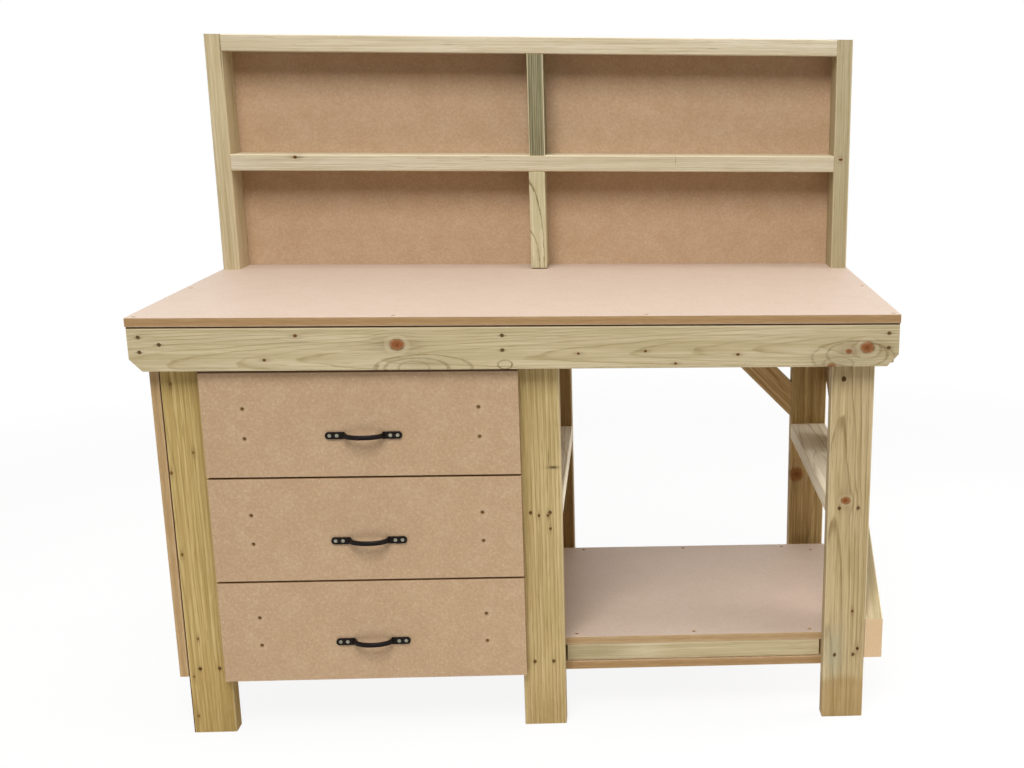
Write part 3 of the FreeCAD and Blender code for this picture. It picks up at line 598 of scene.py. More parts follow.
def pine(name, turn, middle, half, look, marks):
    finish = Finish(name)
    draw = random.Random(name)
    seed = draw.uniform(0, 50)
    place = finish.place_on(middle, turn.to_euler())
    ripple = finish.noise(place * RIPPLE_GRAIN + (seed, seed, 0), 1.0, 3.0)
    knots = [mark for mark in marks if mark["kind"] == "knot"]
    rings = growth_rings(finish, flow_round(finish, place, knots), look, seed)
    fibre = finish.noise(place * FIBRE_GRAIN + (0, seed, 0), 1.0, 3.0, 0.6)
    streak = finish.noise(place * STREAK_GRAIN + (seed, 0, 0), 1.0, 3.0, 0.65)
    stripe = finish.noise(place * STRIPE_GRAIN + (seed, seed, 0), 1.0, 4.0, 0.6)
    patch = finish.noise(place * PATCH_GRAIN + (0, 0, seed), 1.0, 4.0, 0.6)

    colour = finish.blend(finish.step(patch, 0.36, 0.64), look["tone"], look["tint"])
    for grain, low, high, share, shade in (
        (stripe, 0.48, 0.70, 0.50, "dark"), (stripe, 0.50, 0.30, 0.42, "pale"),
        (streak, 0.46, 0.72, 0.72, "dark"), (streak, 0.50, 0.28, 0.60, "pale"),
        (fibre, 0.50, 0.76, 0.9, "dark"),
    ):
        seen = finish.step(grain, low, high) * share * look["fibre"]
        colour = finish.blend(seen, colour, look[shade])
    broken = finish.step(finish.noise(place * BREAK_GRAIN + (seed, 3, 0), 1.0, 3.0, 0.6), 0.30, 0.62)
    colour = finish.blend(rings * (0.3 + broken * 0.7) * look["contrast"], colour, look["line"])

    along, across, through = finish.parts(place)
    at_side = finish.size_of(across) - (half[1] - EDGE_BAND)
    at_face = finish.size_of(through) - (half[2] - EDGE_BAND)
    near_arris = finish.smaller(at_side, at_face) + (stripe - 0.5) * (3 * MM)
    # Painted highlight: the eased long edges are painted paler.
    arris = finish.step(near_arris, 0.0, EDGE_BAND * 0.6)
    bare = colour = finish.blend(arris * look["arris"], colour, KNOT_HALO_AND_ARRIS_HIGHLIGHT)
    for mark in marks:
        colour = paint_mark(finish, place, colour, mark, ripple)
    change = finish.measure("DISTANCE", bare, colour)
    cut, reach = along, half[0]
    if "sawn_upright_at" in look:
        bench_place = finish.node("ShaderNodeTexCoord", None, None, "Object")
        cut, reach = finish.parts(bench_place)[1], look["sawn_upright_at"]
    at_end = finish.step(finish.size_of(cut), reach - END_BAND, reach - END_BAND / 2)
    sawn = finish.blend(rings * 0.35 + (ripple - 0.5) * 0.4, look["end"], look["dark"])
    colour = finish.blend(at_end, colour, sawn)
    rough = 0.50 + fibre * 0.2 + at_end * 0.2 + change
    height = fibre * 0.5 + streak * 0.6 - rings * 0.4
    return finish.close(colour, rough, height, 0.5 * MM, Specular_IOR_Level=0.14)


# %% [markdown]
# ### What each plank looks like
#
# The planks are listed by name with what sets them apart: which way the plank runs and which
# way its broad face lies, its tint, its pith, and the marks that can be read off
# it. Marks are given in millimetres on the bench, so they can be held against a tape measure.

# %% The planks


def tint(tone, warm, dark, line, pale):
    names = ("tone", "tint", "dark", "line", "pale", "end")
    shades = (tone, warm, dark, line, pale, (196, 166, 118))
    return {name: paint(*shade) for name, shade in zip(names, shades)}


HONEY = tint((201, 176, 118), (188, 161, 102), (161, 133, 75), (146, 118, 64), (224, 200, 143))
OLIVE = tint((201, 178, 128), (188, 165, 113), (158, 134, 85), (139, 113, 66), (224, 202, 154))
RIGHT_OLIVE = tint((201, 179, 139), (188, 166, 123), (156, 133, 90), (136, 112, 70), (224, 204, 164))
CREAM = tint((201, 184, 149), (191, 175, 137), (171, 154, 113), (149, 130, 84), (218, 203, 170))
DIVIDER_CREAM = tint((201, 190, 156), (191, 181, 143), (171, 159, 118), (149, 134, 88), (218, 209, 177))
SHADY_CREAM = tint((183, 168, 135), (174, 160, 124), (155, 140, 101), (135, 118, 75), (198, 185, 153))
PALE = tint((212, 200, 174), (203, 189, 160), (180, 165, 131), (168, 151, 114), (226, 216, 191))
BROWN = tint((192, 162, 109), (175, 144, 94), (136, 107, 62), (121, 91, 50), (214, 186, 132))
# Partly a darker board, partly painted shade for the rear middle leg inside the bench.
DARKER_AND_SHADED_BROWN = tint((168, 139, 92), (152, 124, 79), (118, 91, 52), (104, 77, 42), (188, 162, 114))
# Brown wood painted paler for the knee brace: painted light in the open bay.
KNEE_BROWN_PAINTED_LIGHT = tint((228, 196, 142), (208, 175, 124), (166, 132, 84), (148, 113, 68), (246, 224, 170))
GREY_GREEN = tint((146, 138, 105), (134, 127, 96), (94, 87, 58), (42, 38, 20), (166, 160, 130))
# Paler, greyer wood for the mid braces, made paler still as painted light on their top faces in the open
# bay.
WEATHERED_AND_PAINTED_LIGHT = tint((244, 234, 210), (232, 220, 192), (198, 182, 148), (140, 122, 88), (250, 246, 228))
RED_KNOT = paint(156, 96, 58)
BROAD_KNOT = paint(140, 92, 50)
BROWN_KNOT = paint(112, 72, 30)
DARK_KNOT = paint(70, 46, 22)
FAINT_KNOT = paint(140, 108, 58)
RING_SHADE = paint(116, 90, 52)
GREY_STAIN = paint(150, 140, 104)
GREEN_STAIN = paint(166, 162, 136)
# A darker olive strip down the front legs, beside the drawer fronts.
OLIVE_STRIP_BESIDE_DRAWERS = paint(160, 136, 82)
FOOT_STAIN = paint(150, 116, 54)
PALE_LINE = paint(226, 212, 172)

RIGHT_ALONG = 9000
# Painted shadow: a dark line in the gap under the worktop's edge, and one between the side panel and the
# front left leg.
WORKTOP_GAP_PAINTED_SHADOW = ("hole", (0, None, 882), (RIGHT_ALONG, 3.4), 0.95, PAINTED_GAP_SHADOW)
BELOW_SEAM = ("split", (0, None, 877), (RIGHT_ALONG, 1.1), 0.5, PALE_LINE)
LEG_GAP_PAINTED_SHADOW = ("hole", (-716.5, -340.5, None), (2.6, 2.6), 0.95, PAINTED_GAP_SHADOW)


def knot(x, z, radius, colour=BROWN_KNOT):
    paleness = min(1.0, radius / 12)
    return ("knot", (x, None, z), (radius * 1.2, radius), paleness, colour)


def split(x, z, half_length, half_width=1.2, strength=0.8):
    return ("split", (x, None, z), (half_length, half_width), strength, HOLE_SHADE)


def curve(x, z, half_length, half_width, strength):
    return ("ring", (x, None, z), (half_length, half_width), strength, RING_SHADE)


def stain(x, z, half_length, half_width, strength, colour):
    return ("stain", (x, None, z), (half_length, half_width), strength, colour)


def plank(lie, colours, pith, lean, gap, contrast, marks=(), **more):
    """Pith, gap and the split at a screw are in millimetres. A sloping piece has no lie."""
    return {
        "lie": lie, **colours, "pith": pith, "lean": lean, "gap": gap, "contrast": contrast,
        "marks": marks, "fibre": 0.8, "arris": 0.45, "split": 6, **more,
    }


PLANKS = {
    "front_apron": plank("XZ", CREAM, (-16, 66), (0.02, -0.03), 4.6, 0.6, split=8, marks=[
        knot(-241.8, 844, 12, RED_KNOT), knot(692.2, 832, 12, RED_KNOT),
        knot(654.5, 824.5, 5.5, RED_KNOT), knot(620.5, 794, 8, RED_KNOT),
        knot(-436.5, 863, 3.6), knot(-499, 815, 3),
        knot(112.5, 824, 2.6), knot(245.5, 828, 2.8), knot(430.5, 820, 3), knot(305.5, 802.5, 2.6),
        split(-430, 850, 30, 0.9, 0.4), split(-600, 800, 60, 1.0, 0.35), split(300, 815, 80, 0.8, 0.3),
        curve(-211, 797, 30, 14, 0.35), curve(-205, 797, 62, 20, 0.5), curve(-192, 797, 94, 27, 0.5),
        WORKTOP_GAP_PAINTED_SHADOW, BELOW_SEAM,
        curve(-32.5, 802.6, 14, 9, 0.75), curve(690, 828, 30, 19, 0.3), curve(672, 818, 62, 27, 0.45),
        curve(664, 812, 84, 34, 0.35), curve(634, 800, 30, 13, 0.35),
        stain(-200, 808, 60, 14, 0.35, GREY_STAIN), stain(640, 806, 60, 16, 0.35, GREY_STAIN),
    ]),
    "rear_apron": plank("XZ", CREAM, (30, -60), (0.01, 0.02), 4.4, 0.5),
    "left_top_rail": plank("YZ", CREAM, (12, 70), (0.01, 0.0), 4.5, 0.5),
    "middle_top_rail": plank("YZ", BROWN, (-10, 60), (0.0, 0.01), 4.2, 0.5),
    "right_top_rail": plank("YZ", CREAM, (20, -64), (0.02, 0.0), 4.4, 0.5),
    "front_left_leg": plank("ZX", HONEY, (-50, 30), (0.01, 0.02), 6.0, 0.7, fibre=0.9, marks=[
        *(knot(x, z, radius, FAINT_KNOT) for x, z, radius in (
            (-695.5, 760, 3.4), (-663.5, 618, 3), (-710.5, 576, 3.6), (-705.5, 401, 3.4),
            (-690.5, 214.5, 3), (-705.5, 129, 3), (-704.5, 38.5, 3.6),
        )),
        stain(-638, 600, 900, 16, 0.5, OLIVE_STRIP_BESIDE_DRAWERS), stain(-660, 60, 120, 60, 0.35, FOOT_STAIN),
        split(-640, 340, 60, 1.0, 0.4), split(-655, 520, 90, 0.8, 0.3), LEG_GAP_PAINTED_SHADOW,
    ]),
    "front_middle_leg": plank("ZX", OLIVE, (-60, 26), (0.0, 0.015), 6.5, 0.7, fibre=0.9, marks=[
        knot(23.5, 474, 3), knot(46.5, 445, 3), knot(42, 474, 3),
        ("split", (55, None, 578), (3, 12), 0.8, HOLE_SHADE), split(46, 600, 14, 1.0, 0.6),
        stain(-8, 560, 400, 14, 0.4, OLIVE_STRIP_BESIDE_DRAWERS), stain(26, 40, 90, 60, 0.3, FOOT_STAIN),
    ]),
    "front_right_leg": plank("ZX", RIGHT_OLIVE, (-30, 52), (0.03, 0.035), 6.8, 0.8, fibre=0.85, marks=[
        knot(652.5, 759.5, 5, DARK_KNOT), ("knot", (665, None, 497), (8, 10.5), 0.6, RED_KNOT),
        knot(701.2, 160, 3.6, DARK_KNOT), knot(687.1, 247, 3),
        stain(650, 150, 60, 22, 0.6, GREEN_STAIN), ("hole", (672, None, 10), (84, 120), 0.45, FOOT_STAIN),
    ]),
    "rear_left_leg": plank("ZX", BROWN, (20, -90), (0.01, 0.02), 4.2, 0.5),
    "rear_middle_leg": plank("ZX", DARKER_AND_SHADED_BROWN, (-26, -80), (0.0, 0.02), 4.0, 0.5),
    "rear_right_leg": plank("ZX", BROWN, (14, -75), (0.02, 0.01), 4.3, 0.5, marks=[
        ("knot", (645, None, 364), (19, 18), 0.15, BROAD_KNOT),
    ]),
    "left_bottom_brace": plank("YX", BROWN, (20, -60), (0.01, 0.0), 4.2, 0.5),
    "middle_bottom_brace": plank("YX", BROWN, (12, 55), (0.0, 0.01), 4.2, 0.5),
    "right_bottom_brace": plank("YX", BROWN, (-12, -58), (0.01, 0.0), 4.3, 0.5),
    "middle_mid_brace": plank("YX", WEATHERED_AND_PAINTED_LIGHT, (18, 50), (0.01, 0.01), 4.0, 0.4),
    "right_mid_brace": plank("YX", WEATHERED_AND_PAINTED_LIGHT, (-18, 44), (0.01, 0.02), 7.0, 0.45, fibre=0.6),
    "lower_shelf_front_rail": plank("XY", CREAM, (24, 46), (0.01, 0.0), 4.2, 0.3, marks=[
        stain(130, 146, 70, 26, 0.45, GREY_STAIN), stain(240, 146, 40, 20, 0.4, CREAM["pale"]),
    ]),
    "lower_shelf_rear_rail": plank("XY", CREAM, (-20, 52), (0.01, 0.01), 4.2, 0.3),
    "left_upright": plank("ZY", CREAM, (24, 60), (0.0, 0.02), 5.0, 0.4, arris=0.3, marks=[
        ("split", (-719, None, 1400), (60, 1.2), 0.7, HOLE_SHADE),
    ]),
    "right_upright": plank("ZY", SHADY_CREAM, (-16, -60), (0.01, 0.01), 5.0, 0.4, arris=0.3, marks=[
        ("knot", (733, None, 1164), (3, 6), 1.0, BROWN_KNOT),
    ]),
    "top_rail": plank("XY", PALE, (16, -64), (0.01, 0.02), 4.6, 0.3, marks=[
        split(-200, 1425, 12, 1.0, 0.4), split(420, 1421, 14, 1.0, 0.4),
    ]),
    "storage_shelf": plank("XY", PALE, (-28, 58), (0.012, 0.015), 4.6, 0.45, arris=0.7, marks=[
        knot(-567, 1166, 4), split(-560, 1166, 16, 1.2, 0.6),
        ("split", (332, None, 1160), (0.8, 9), 0.5, HOLE_SHADE), split(-120, 1168, 12, 1.0, 0.4),
    ]),
    "upper_divider": plank("ZY", GREY_GREEN, (0, 260), (0.0, 0.0), 5.2, 1.0, fibre=0.7, arris=0.8),
    "lower_divider": plank("ZY", DIVIDER_CREAM, (40, 24), (0.01, 0.01), 9.0, 0.25, arris=0.5, marks=[
        curve(-30, 940, 175, 42, 0.75), curve(-30, 905, 92, 31, 0.6),
    ]),
}


def turned(along, across):
    return Matrix((along, across, along.cross(across))).transposed()


def lying(letters):
    """The turn of a piece that runs along the first axis with its broad face along the second."""
    axes = {"X": Vector((1, 0, 0)), "Y": Vector((0, 1, 0)), "Z": Vector((0, 0, 1))}
    return turned(axes[letters[0]], axes[letters[1]])


def dress(node, material):
    for slot in NODES[node].material_slots:
        slot.material = material


def dress_plank(name, look, turn, middle, half):
    marks = [mark_on(turn, middle, *mark) for mark in look["marks"]]
    marks += holes_in(name, turn, middle, look["split"])
    dress(name, pine(f"pine_{name}", turn, middle, half, look, marks))


for name, look in PLANKS.items():
    low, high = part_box(name)
    turn = lying(look["lie"])
    half = [abs(value) / 2 for value in turn.transposed() @ (high - low)]
    dress_plank(name, look, turn, (low + high) / 2, half)
print(len(PLANKS), "planks dressed")

# %% [markdown]
# The two sloping braces run at an angle, so the same finish is turned to lie along them.
# Their ends are cut upright or level, not square. The side brace's front end was
# sawn after the treatment and shows the pinkish wood inside. The six bearers that carry the
# runners lie side by side out of sight and share one finish.

# %% Sloping braces and bearers
UNENDING = 10.0
SIDE_BRACE_ANGLE = math.atan2(517, 671)
SIDE_BRACE_MIDDLE = Vector((0.7355, 0.0222, 0.4512))
SIDE_BRACE_SAWN_AT = 0.3405
SAWN_PINK = paint(217, 186, 148)
KNEE_ANGLE = math.radians(135)
KNEE_MIDDLE = Vector((0.4673, 0.3115, 0.7218))
BEARERS_MIDDLE = Vector((-0.32, 0, 0.45))
STUD_HALF = 44.5 * MM
BATTEN_HALF = 31.5 * MM
THIN_HALF = 19 * MM

side_look = plank(
    None, CREAM, (20, 60), (0.01, 0.01), 4.3, 0.4,
    split=None, arris=0.6, end=SAWN_PINK, sawn_upright_at=SIDE_BRACE_SAWN_AT,
)
side_turn = turned(
    Vector((0, math.cos(SIDE_BRACE_ANGLE), math.sin(SIDE_BRACE_ANGLE))),
    Vector((0, -math.sin(SIDE_BRACE_ANGLE), math.cos(SIDE_BRACE_ANGLE))),
)
side_half = (UNENDING, STUD_HALF, THIN_HALF)
dress_plank("right_diagonal_brace", side_look, side_turn, SIDE_BRACE_MIDDLE, side_half)

knee_look = plank(None, KNEE_BROWN_PAINTED_LIGHT, (14, 55), (0.01, 0.01), 4.3, 0.5, split=None)
knee_turn = turned(
    Vector((math.cos(KNEE_ANGLE), 0, math.sin(KNEE_ANGLE))),
    Vector((math.sin(KNEE_ANGLE), 0, -math.cos(KNEE_ANGLE))),
)
dress_plank("rear_knee_brace", knee_look, knee_turn, KNEE_MIDDLE, (UNENDING, BATTEN_HALF, THIN_HALF))

bearer_look = plank("YZ", BROWN, (14, 400), (0.01, 0.01), 4.3, 0.5, split=None)
bearers_half = (UNENDING, UNENDING, UNENDING)
dress_plank("runner_bearers", bearer_look, lying(bearer_look["lie"]), BEARERS_MIDDLE, bearers_half)
print("sloping braces and bearers dressed")

# %% [markdown]
# ## Raw fibreboard
#
# The boards are medium density fibreboard, unpainted. Its pressed face is a warm, even brown
# with pale flecks of fibre and a faint cloudiness, and just smooth enough to catch
# the light when seen at a low angle. On the boards that face up, that sheen is also painted in
# as a paler, greyer face colour. The sawn edge is darker, coarser and faintly layered,
# because it cuts through the softer core. Both come from one finish, which knows how
# far a point lies from the middle of the board's thickness.

# %% The fibreboard finish
FLECKS_A_METRE = 88.0
CURLS_A_METRE = 260.0
CURL = 12 * MM
CLOUDS_A_METRE = 16.0
DUST_A_METRE = 190.0
GRIT_A_METRE = 620.0
RIPPLES_A_METRE = 110.0
SAWN_LAYERS = (26, 26, 480)
SKIN = 1.1 * MM
FLECK_SHADE = paint(226, 206, 176)
SPECK_SHADE = paint(128, 98, 70)
CORE_SHADE = paint(142, 106, 64)


def fibreboard(name, turn, middle, half_thickness, look, marks=()):
    finish = Finish(name)
    place = finish.place_on(middle, turn.to_euler())
    bend = finish.noise(place, CURLS_A_METRE, 2.0, output="Color") - (0.5, 0.5, 0.5)
    curled = place + bend * (CURL, CURL, CURL)
    cell = {"Vector": curled, "Scale": FLECKS_A_METRE}
    near = finish.node("ShaderNodeTexVoronoi", None, cell, "Distance")
    pick = finish.parts(finish.node("ShaderNodeTexVoronoi", None, cell, "Color"))[0]
    fleck = (1 - finish.step(near, 0.04, 0.24)) * finish.step(pick, 0.55, 1.0)
    speck = (1 - finish.step(near, 0.03, 0.10)) * (1 - finish.step(pick, 0.04, 0.12))
    mottle = finish.noise(place, CLOUDS_A_METRE, 6.0, 0.72)
    dust = finish.noise(place, DUST_A_METRE, 3.0, 0.7)
    grit = finish.noise(place, GRIT_A_METRE, 2.0, 0.7)

    colour = finish.blend(finish.step(mottle, 0.30, 0.72) * look["cloudy"], look["face"], look["cloud"])
    for grain, low, high, shade in (
        (dust, 0.40, 0.66, "dark"), (dust, 0.48, 0.26, "light"), (grit, 0.45, 0.75, "dark"),
    ):
        colour = finish.blend(finish.step(grain, low, high) * look["dusty"], colour, look[shade])
    colour = finish.blend(fleck * look["flecked"], colour, FLECK_SHADE)
    colour = finish.blend(speck * 0.35, colour, SPECK_SHADE)
    ripple = finish.noise(place, RIPPLES_A_METRE, 3.0)
    for mark in marks:
        colour = paint_mark(finish, place, colour, mark, ripple)
    depth = half_thickness - finish.size_of(finish.parts(place)[2])
    on_edge = finish.step(depth, SKIN * 0.45, SKIN)
    layers = finish.noise(place * SAWN_LAYERS, 1.0, 3.0, 0.7)
    sawn = finish.blend(finish.step(layers, 0.35, 0.7), look["edge"], look["edge_light"])
    sawn = finish.blend(finish.step(depth, 0.0, half_thickness) * 0.35, sawn, CORE_SHADE)
    colour = finish.blend(on_edge, colour, sawn)
    rough = look["rough"] + dust * 0.12 + on_edge * 0.3
    height = dust * 0.3 + grit * 0.3 + fleck * 0.3 + on_edge * layers
    return finish.close(colour, rough, height, 0.22 * MM, Specular_IOR_Level=look["gloss"])


BOARD = {
    "face": paint(193, 164, 131), "cloud": paint(185, 154, 121), "dark": paint(163, 131, 96),
    "light": paint(216, 188, 157), "edge": paint(166, 132, 90), "edge_light": paint(182, 150, 108),
    "cloudy": 1.0, "dusty": 0.32, "flecked": 0.55, "rough": 0.48, "gloss": 0.3,
}
# Painted sheen: the boards that face up are painted paler and greyer, for the white reflection they show
# at a low angle.
UPWARD_BOARD_PAINTED_SHEEN = {
    **BOARD, "cloudy": 0.6, "dusty": 0.25, "flecked": 0.25,
    "face": paint(201, 181, 165), "cloud": paint(194, 173, 155), "dark": paint(178, 155, 133),
    "light": paint(212, 195, 180),
}
BACK_BOARD = {
    **BOARD, "cloudy": 0.9, "dusty": 0.28, "flecked": 0.35, "gloss": 0.06,
    "face": paint(198, 169, 139), "cloud": paint(190, 159, 127),
}
SIDE_BOARD = {**BOARD, "edge": paint(182, 150, 106), "edge_light": paint(198, 168, 124)}
# The lower shelf keeps the painted sheen of the boards that face up.
LOW_BOARD_PAINTED_SHEEN = {**UPWARD_BOARD_PAINTED_SHEEN, "edge": paint(180, 150, 108), "edge_light": paint(196, 168, 128)}
BOARDS = {
    "worktop": ("XY", UPWARD_BOARD_PAINTED_SHEEN),
    "left_side_panel": ("ZY", SIDE_BOARD),
    "lower_shelf": ("XY", LOW_BOARD_PAINTED_SHEEN),
    "lower_bottom_board": ("XY", BOARD),
    "back_panel": ("XZ", BACK_BOARD),
}
for number in DRAWERS:
    BOARDS[f"drawer_{number}_front"] = ("XZ", BOARD)
    BOARDS[f"drawer_{number}_bottom"] = ("XY", BOARD)
# Painted shadow: a dark line along the top edge of the upper drawer's front, under the apron.
UNDER_APRON_PAINTED_SHADOW = ("hole", (None, -359.5, 788.6), (3.4, 3.4), 0.95, PAINTED_GAP_SHADOW)
BOARD_MARKS = {"drawer_1_front": [UNDER_APRON_PAINTED_SHADOW]}
FACES_ONLY = 0.0
for name, (lie, look) in BOARDS.items():
    low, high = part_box(name)
    middle = (low + high) / 2
    turn = lying(lie)
    marks = holes_in(name, turn, middle, None)
    marks += [mark_on(turn, middle, *mark) for mark in BOARD_MARKS.get(name, ())]
    dress(name, fibreboard(f"board_{name}", turn, middle, min(high - low) / 2, look, marks))
drawer_board = fibreboard("drawer_board", lying("XY"), Vector((0, 0, 0)), FACES_ONLY, BOARD)
for number in DRAWERS:
    dress(f"drawer_{number}_box_sides", drawer_board)
    dress(f"drawer_{number}_box_ends", drawer_board)
print(len(BOARDS), "boards and the drawer boxes dressed")

# %% [markdown]
# ## Black iron, zinc and bright steel
#
# The pulls are cast iron under black lacquer: nearly black, with a brown warmth where the
# lacquer is thin, and a slightly lumpy surface that breaks up its highlights. The screws
# are zinc plated, and the runners are plain galvanised steel with its faint crystals.

# %% Metals


def black_iron():
    finish = Finish("black_iron")
    place = finish.place_on((0, 0, 0))
    cast = finish.noise(place, 320.0, 3.0, 0.6)
    worn = finish.step(finish.noise(place, 90.0, 3.0, 0.6), 0.5, 0.75)
    colour = finish.blend(worn * 0.5, paint(20, 14, 12), paint(44, 30, 24))
    rough = 0.22 + cast * 0.16 + worn * 0.1
    return finish.close(colour, rough, cast, 0.25 * MM, Specular_IOR_Level=0.12)


def plated(name, bright, dull, roughness):
    finish = Finish(name)
    place = finish.place_on((0, 0, 0))
    crystal = finish.node("ShaderNodeTexVoronoi", None, {"Vector": place, "Scale": 220.0}, "Color")
    shade = finish.parts(crystal)[0]
    smear = finish.noise(place, 700.0, 3.0, 0.6)
    colour = finish.blend(shade * 0.6 + smear * 0.4, bright, dull)
    return finish.close(colour, roughness + smear * 0.2, smear, 0.08 * MM, Metallic=1.0)


iron = black_iron()
runner_steel = plated("runner_steel", paint(206, 208, 210), paint(170, 173, 176), 0.28)
bright_screw = plated("bright_screw", paint(168, 166, 150), paint(128, 124, 104), 0.42)
dull_screw = plated("dull_screw", paint(132, 102, 66), paint(94, 70, 42), 0.55)
for number in DRAWERS:
    dress(f"drawer_{number}_handle", iron)
    dress(f"drawer_{number}_runner_strips", runner_steel)
    dress(f"drawer_{number}_middle_slides", runner_steel)
dress("runner_fixed_channels", runner_steel)
print("metals dressed")

# %% [markdown]
# ## Screw heads that repeat
#
# About two hundred screws share three shapes: a countersunk head, a flat pan head and a shank.
# This is what Geometry Nodes are for. One tree shapes a head, cuts its cross recess, sets
# a copy on every point of a list and turns it to face out of the wood, each with its own
# twist. The points carry the way out, the length and the kind of head as attributes.
# The result is made a plain mesh, one for each body, and stands for the plain cones.

# %% Screw tree
HEAD_SIZES = {
    "Head Radius": 3.05 * MM, "Head Depth": 1.3 * MM, "Shank Radius": 1.9 * MM, "Sink": 1.05 * MM,
    "Pan Radius": 3.6 * MM, "Pan Depth": 1.4 * MM,
}
HEAD_CORNERS = 20
SHANK_CORNERS = 12
TWIST_MOST = 1.6
SLOT_TOP = 0.62
SLOT_FLOOR = 0.28
SLOT_DEPTH = 0.62
SLOT_SUNK = 0.55
SLOT_WIDTH = 0.26


class Tree(Web):
    """A Geometry Nodes tree, wired in the same way as a finish."""

    def __init__(self, name):
        self.group = bpy.data.node_groups.new(name, "GeometryNodeTree")
        super().__init__(self.group)
        self.add_socket("Geometry", "Geometry", "OUTPUT")
        self.add_socket("Geometry", "Geometry")

    def add_socket(self, name, kind, way="INPUT"):
        self.group.interface.new_socket(name, in_out=way, socket_type=f"NodeSocket{kind}")

    def attribute(self, name, kind):
        return self.node("GeometryNodeInputNamedAttribute", {"data_type": kind}, {"Name": name})

    def upright(self, height):
        return self.node("ShaderNodeCombineXYZ", None, {2: height})

    def moved(self, shape, offset=(0, 0, 0), turn=(0, 0, 0), scale=(1, 1, 1)):
        sockets = {"Geometry": shape, "Translation": offset, "Rotation": turn, "Scale": scale}
        return self.node("GeometryNodeTransform", None, sockets)

    def joined(self, *shapes):
        join = self.nodes.new("GeometryNodeJoinGeometry")
        for shape in shapes:
            self.links.new(shape.socket, join.inputs[0])
        return Wire(self, join.outputs[0])


def screw_tree():
    tree = Tree("screws")
    for name in HEAD_SIZES:
        tree.add_socket(name, "Float")
    tree.add_socket("Finish", "Material")
    given = tree.nodes.new("NodeGroupInput")
    ask = {socket.name: Wire(tree, socket) for socket in given.outputs if socket.name}
    head_radius, head_depth, sink = ask["Head Radius"], ask["Head Depth"], ask["Sink"]

    cone = tree.node("GeometryNodeMeshCone", None, {
        "Vertices": HEAD_CORNERS, "Radius Top": head_radius, "Radius Bottom": ask["Shank Radius"],
        "Depth": head_depth,
    })
    head_place = tree.upright(head_depth * -1.0 - sink)
    head = cross_cut(tree, tree.moved(cone, head_place), head_radius, sink)
    disc = tree.node("GeometryNodeMeshCylinder", None, {
        "Vertices": HEAD_CORNERS, "Radius": ask["Pan Radius"], "Depth": ask["Pan Depth"],
    })
    pan_place = tree.upright(ask["Pan Depth"] * -0.5)
    pan = cross_cut(tree, tree.moved(disc, pan_place), head_radius, 0.0)
    rod_sizes = {"Vertices": SHANK_CORNERS, "Radius": ask["Shank Radius"], "Depth": 1.0}
    rod = tree.moved(tree.node("GeometryNodeMeshCylinder", None, rod_sizes), (0, 0, -0.5))

    out = tree.attribute("out", "FLOAT_VECTOR")
    facing = tree.node("FunctionNodeAlignRotationToVector", {"axis": "Z"}, {"Vector": out})
    twist_range = {"Min": 0.0, "Max": TWIST_MOST, "Seed": 7}
    twist = tree.node("FunctionNodeRandomValue", {"data_type": "FLOAT"}, twist_range, 1)
    spin = tree.node("FunctionNodeAxisAngleToRotation", None, {"Axis": (0, 0, 1), "Angle": twist})
    facing = tree.node("FunctionNodeRotateRotation", {"rotation_space": "LOCAL"}, {0: facing, 1: spin})
    is_pan = tree.attribute("pan", "FLOAT")
    length = tree.attribute("length", "FLOAT")
    stretch = tree.node("ShaderNodeCombineXYZ", None, {0: 1.0, 1: 1.0, 2: length})
    sets = []
    for shape, socket, value in (
        (head, "Selection", 1 - is_pan), (pan, "Selection", is_pan), (rod, "Scale", stretch),
    ):
        sets.append(tree.node("GeometryNodeInstanceOnPoints", None, {
            "Points": ask["Geometry"], "Instance": shape, "Rotation": facing, socket: value,
        }))
    whole = tree.node("GeometryNodeRealizeInstances", None, {0: tree.joined(*sets)})
    whole = tree.node("GeometryNodeSetMaterial", None, {"Geometry": whole, "Material": ask["Finish"]})
    output = tree.nodes.new("NodeGroupOutput")
    tree.links.new(whole.socket, output.inputs[0])
    return tree.group


def cross_cut(tree, head, radius, sink):
    """Cuts two crossing slots with sloping ends into a head. Slot sizes are shares of its radius."""
    slots = []
    for turn in (0, math.pi / 2):
        slot = tree.node("GeometryNodeMeshCone", None, {
            "Vertices": 4, "Radius Top": radius * SLOT_TOP, "Radius Bottom": radius * SLOT_FLOOR,
            "Depth": radius * SLOT_DEPTH,
        })
        slot_place = tree.upright(radius * -SLOT_SUNK - sink)
        flat = tree.moved(slot, slot_place, scale=(1.0, SLOT_WIDTH, 1.0))
        slots.append(tree.moved(flat, turn=(0, 0, turn)))
    cut = tree.nodes.new("GeometryNodeMeshBoolean")
    cut.operation = "DIFFERENCE"
    cut.solver = "EXACT"
    tree.links.new(head.socket, cut.inputs["Mesh 1"])
    for slot in slots:
        tree.links.new(slot.socket, cut.inputs["Mesh 2"])
    return Wire(tree, cut.outputs["Mesh"])


# %% Set the screws
SCREW_TREE = screw_tree()


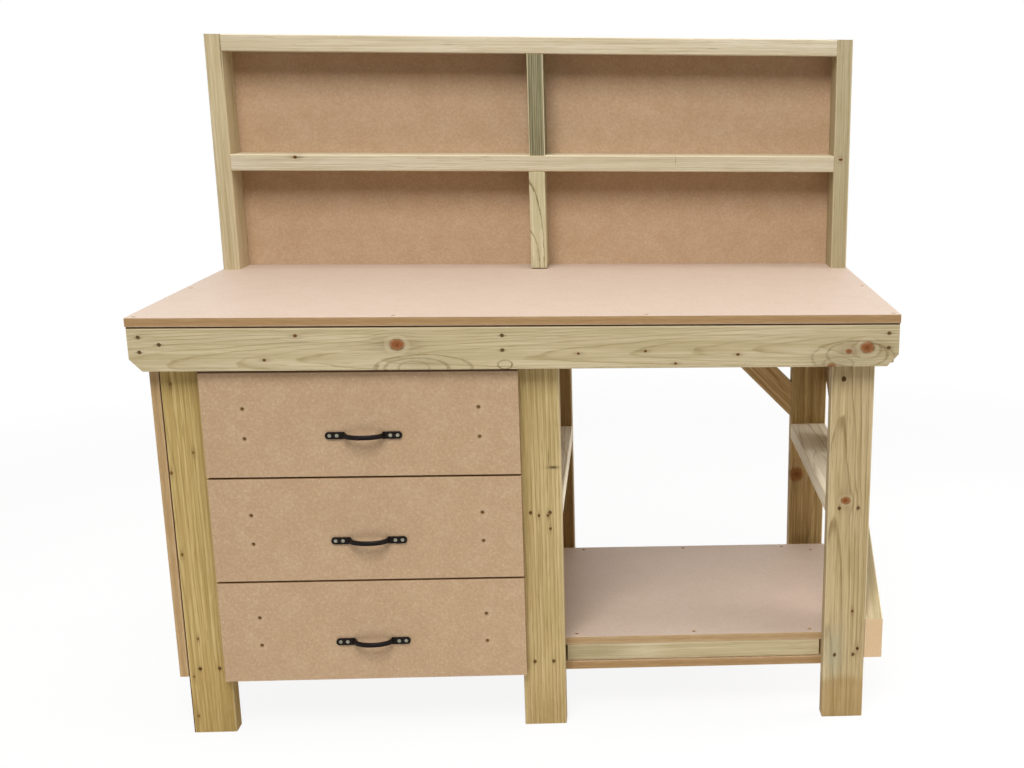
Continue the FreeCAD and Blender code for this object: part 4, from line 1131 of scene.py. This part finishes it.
def set_screws(name, screws, body, replaced, finish, **sizes):
    points = bpy.data.meshes.new(f"{name}_points")
    points.from_pydata([screw["head"] for screw in screws], [], [])
    out = points.attributes.new("out", "FLOAT_VECTOR", "POINT")
    out.data.foreach_set("vector", [value for screw in screws for value in screw["out"]])
    for key in ("length", "pan"):
        numbers = points.attributes.new(key, "FLOAT", "POINT")
        numbers.data.foreach_set("value", [float(screw[key]) for screw in screws])
    maker = bpy.data.objects.new(name, points)
    bpy.context.scene.collection.objects.link(maker)
    modifier = maker.modifiers.new("screws", "NODES")
    modifier.node_group = SCREW_TREE
    wanted = {**HEAD_SIZES, **sizes, "Finish": finish}
    for socket in SCREW_TREE.interface.items_tree:
        if socket.in_out == "INPUT" and socket.name in wanted:
            modifier[socket.identifier] = wanted[socket.name]
    bpy.context.view_layer.update()
    ready = maker.evaluated_get(bpy.context.evaluated_depsgraph_get())
    mesh = bpy.data.meshes.new_from_object(ready)
    mesh.name = name
    bpy.data.objects.remove(maker)
    piece = bpy.data.objects.new(name, mesh)
    bpy.context.scene.collection.objects.link(piece)
    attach(piece, body)
    if replaced:
        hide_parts(replaced)
    print(name, len(screws), "screws,", len(mesh.polygons), "faces")


HANDLE_HEAD = {"Head Radius": 3.7 * MM, "Head Depth": 2.0 * MM, "Sink": 0.1 * MM}
LUG_THICKNESS = 3.5 * MM
LUG_SLACK = 0.2 * MM
for name in ("frame_screws", "board_screws", "runner_screws"):
    kind = bright_screw if name == "runner_screws" else dull_screw
    set_screws(f"cross_{name}", SCREWS[name], "bench", name, kind)
for number in DRAWERS:
    body = f"drawer_{number}"
    all_screws = SCREWS[f"{body}_screws"]
    lug_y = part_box(f"{body}_front")[0].y - LUG_THICKNESS
    at_lug = [screw for screw in all_screws if abs(screw["head"].y - lug_y) < LUG_SLACK]
    on_handle = [screw for screw in at_lug if not screw["pan"]]
    others = [screw for screw in all_screws if screw not in on_handle]
    set_screws(f"{body}_cross_screws", others, body, f"{body}_screws", dull_screw)
    set_screws(f"{body}_handle_screws", on_handle, body, None, bright_screw, **HANDLE_HEAD)
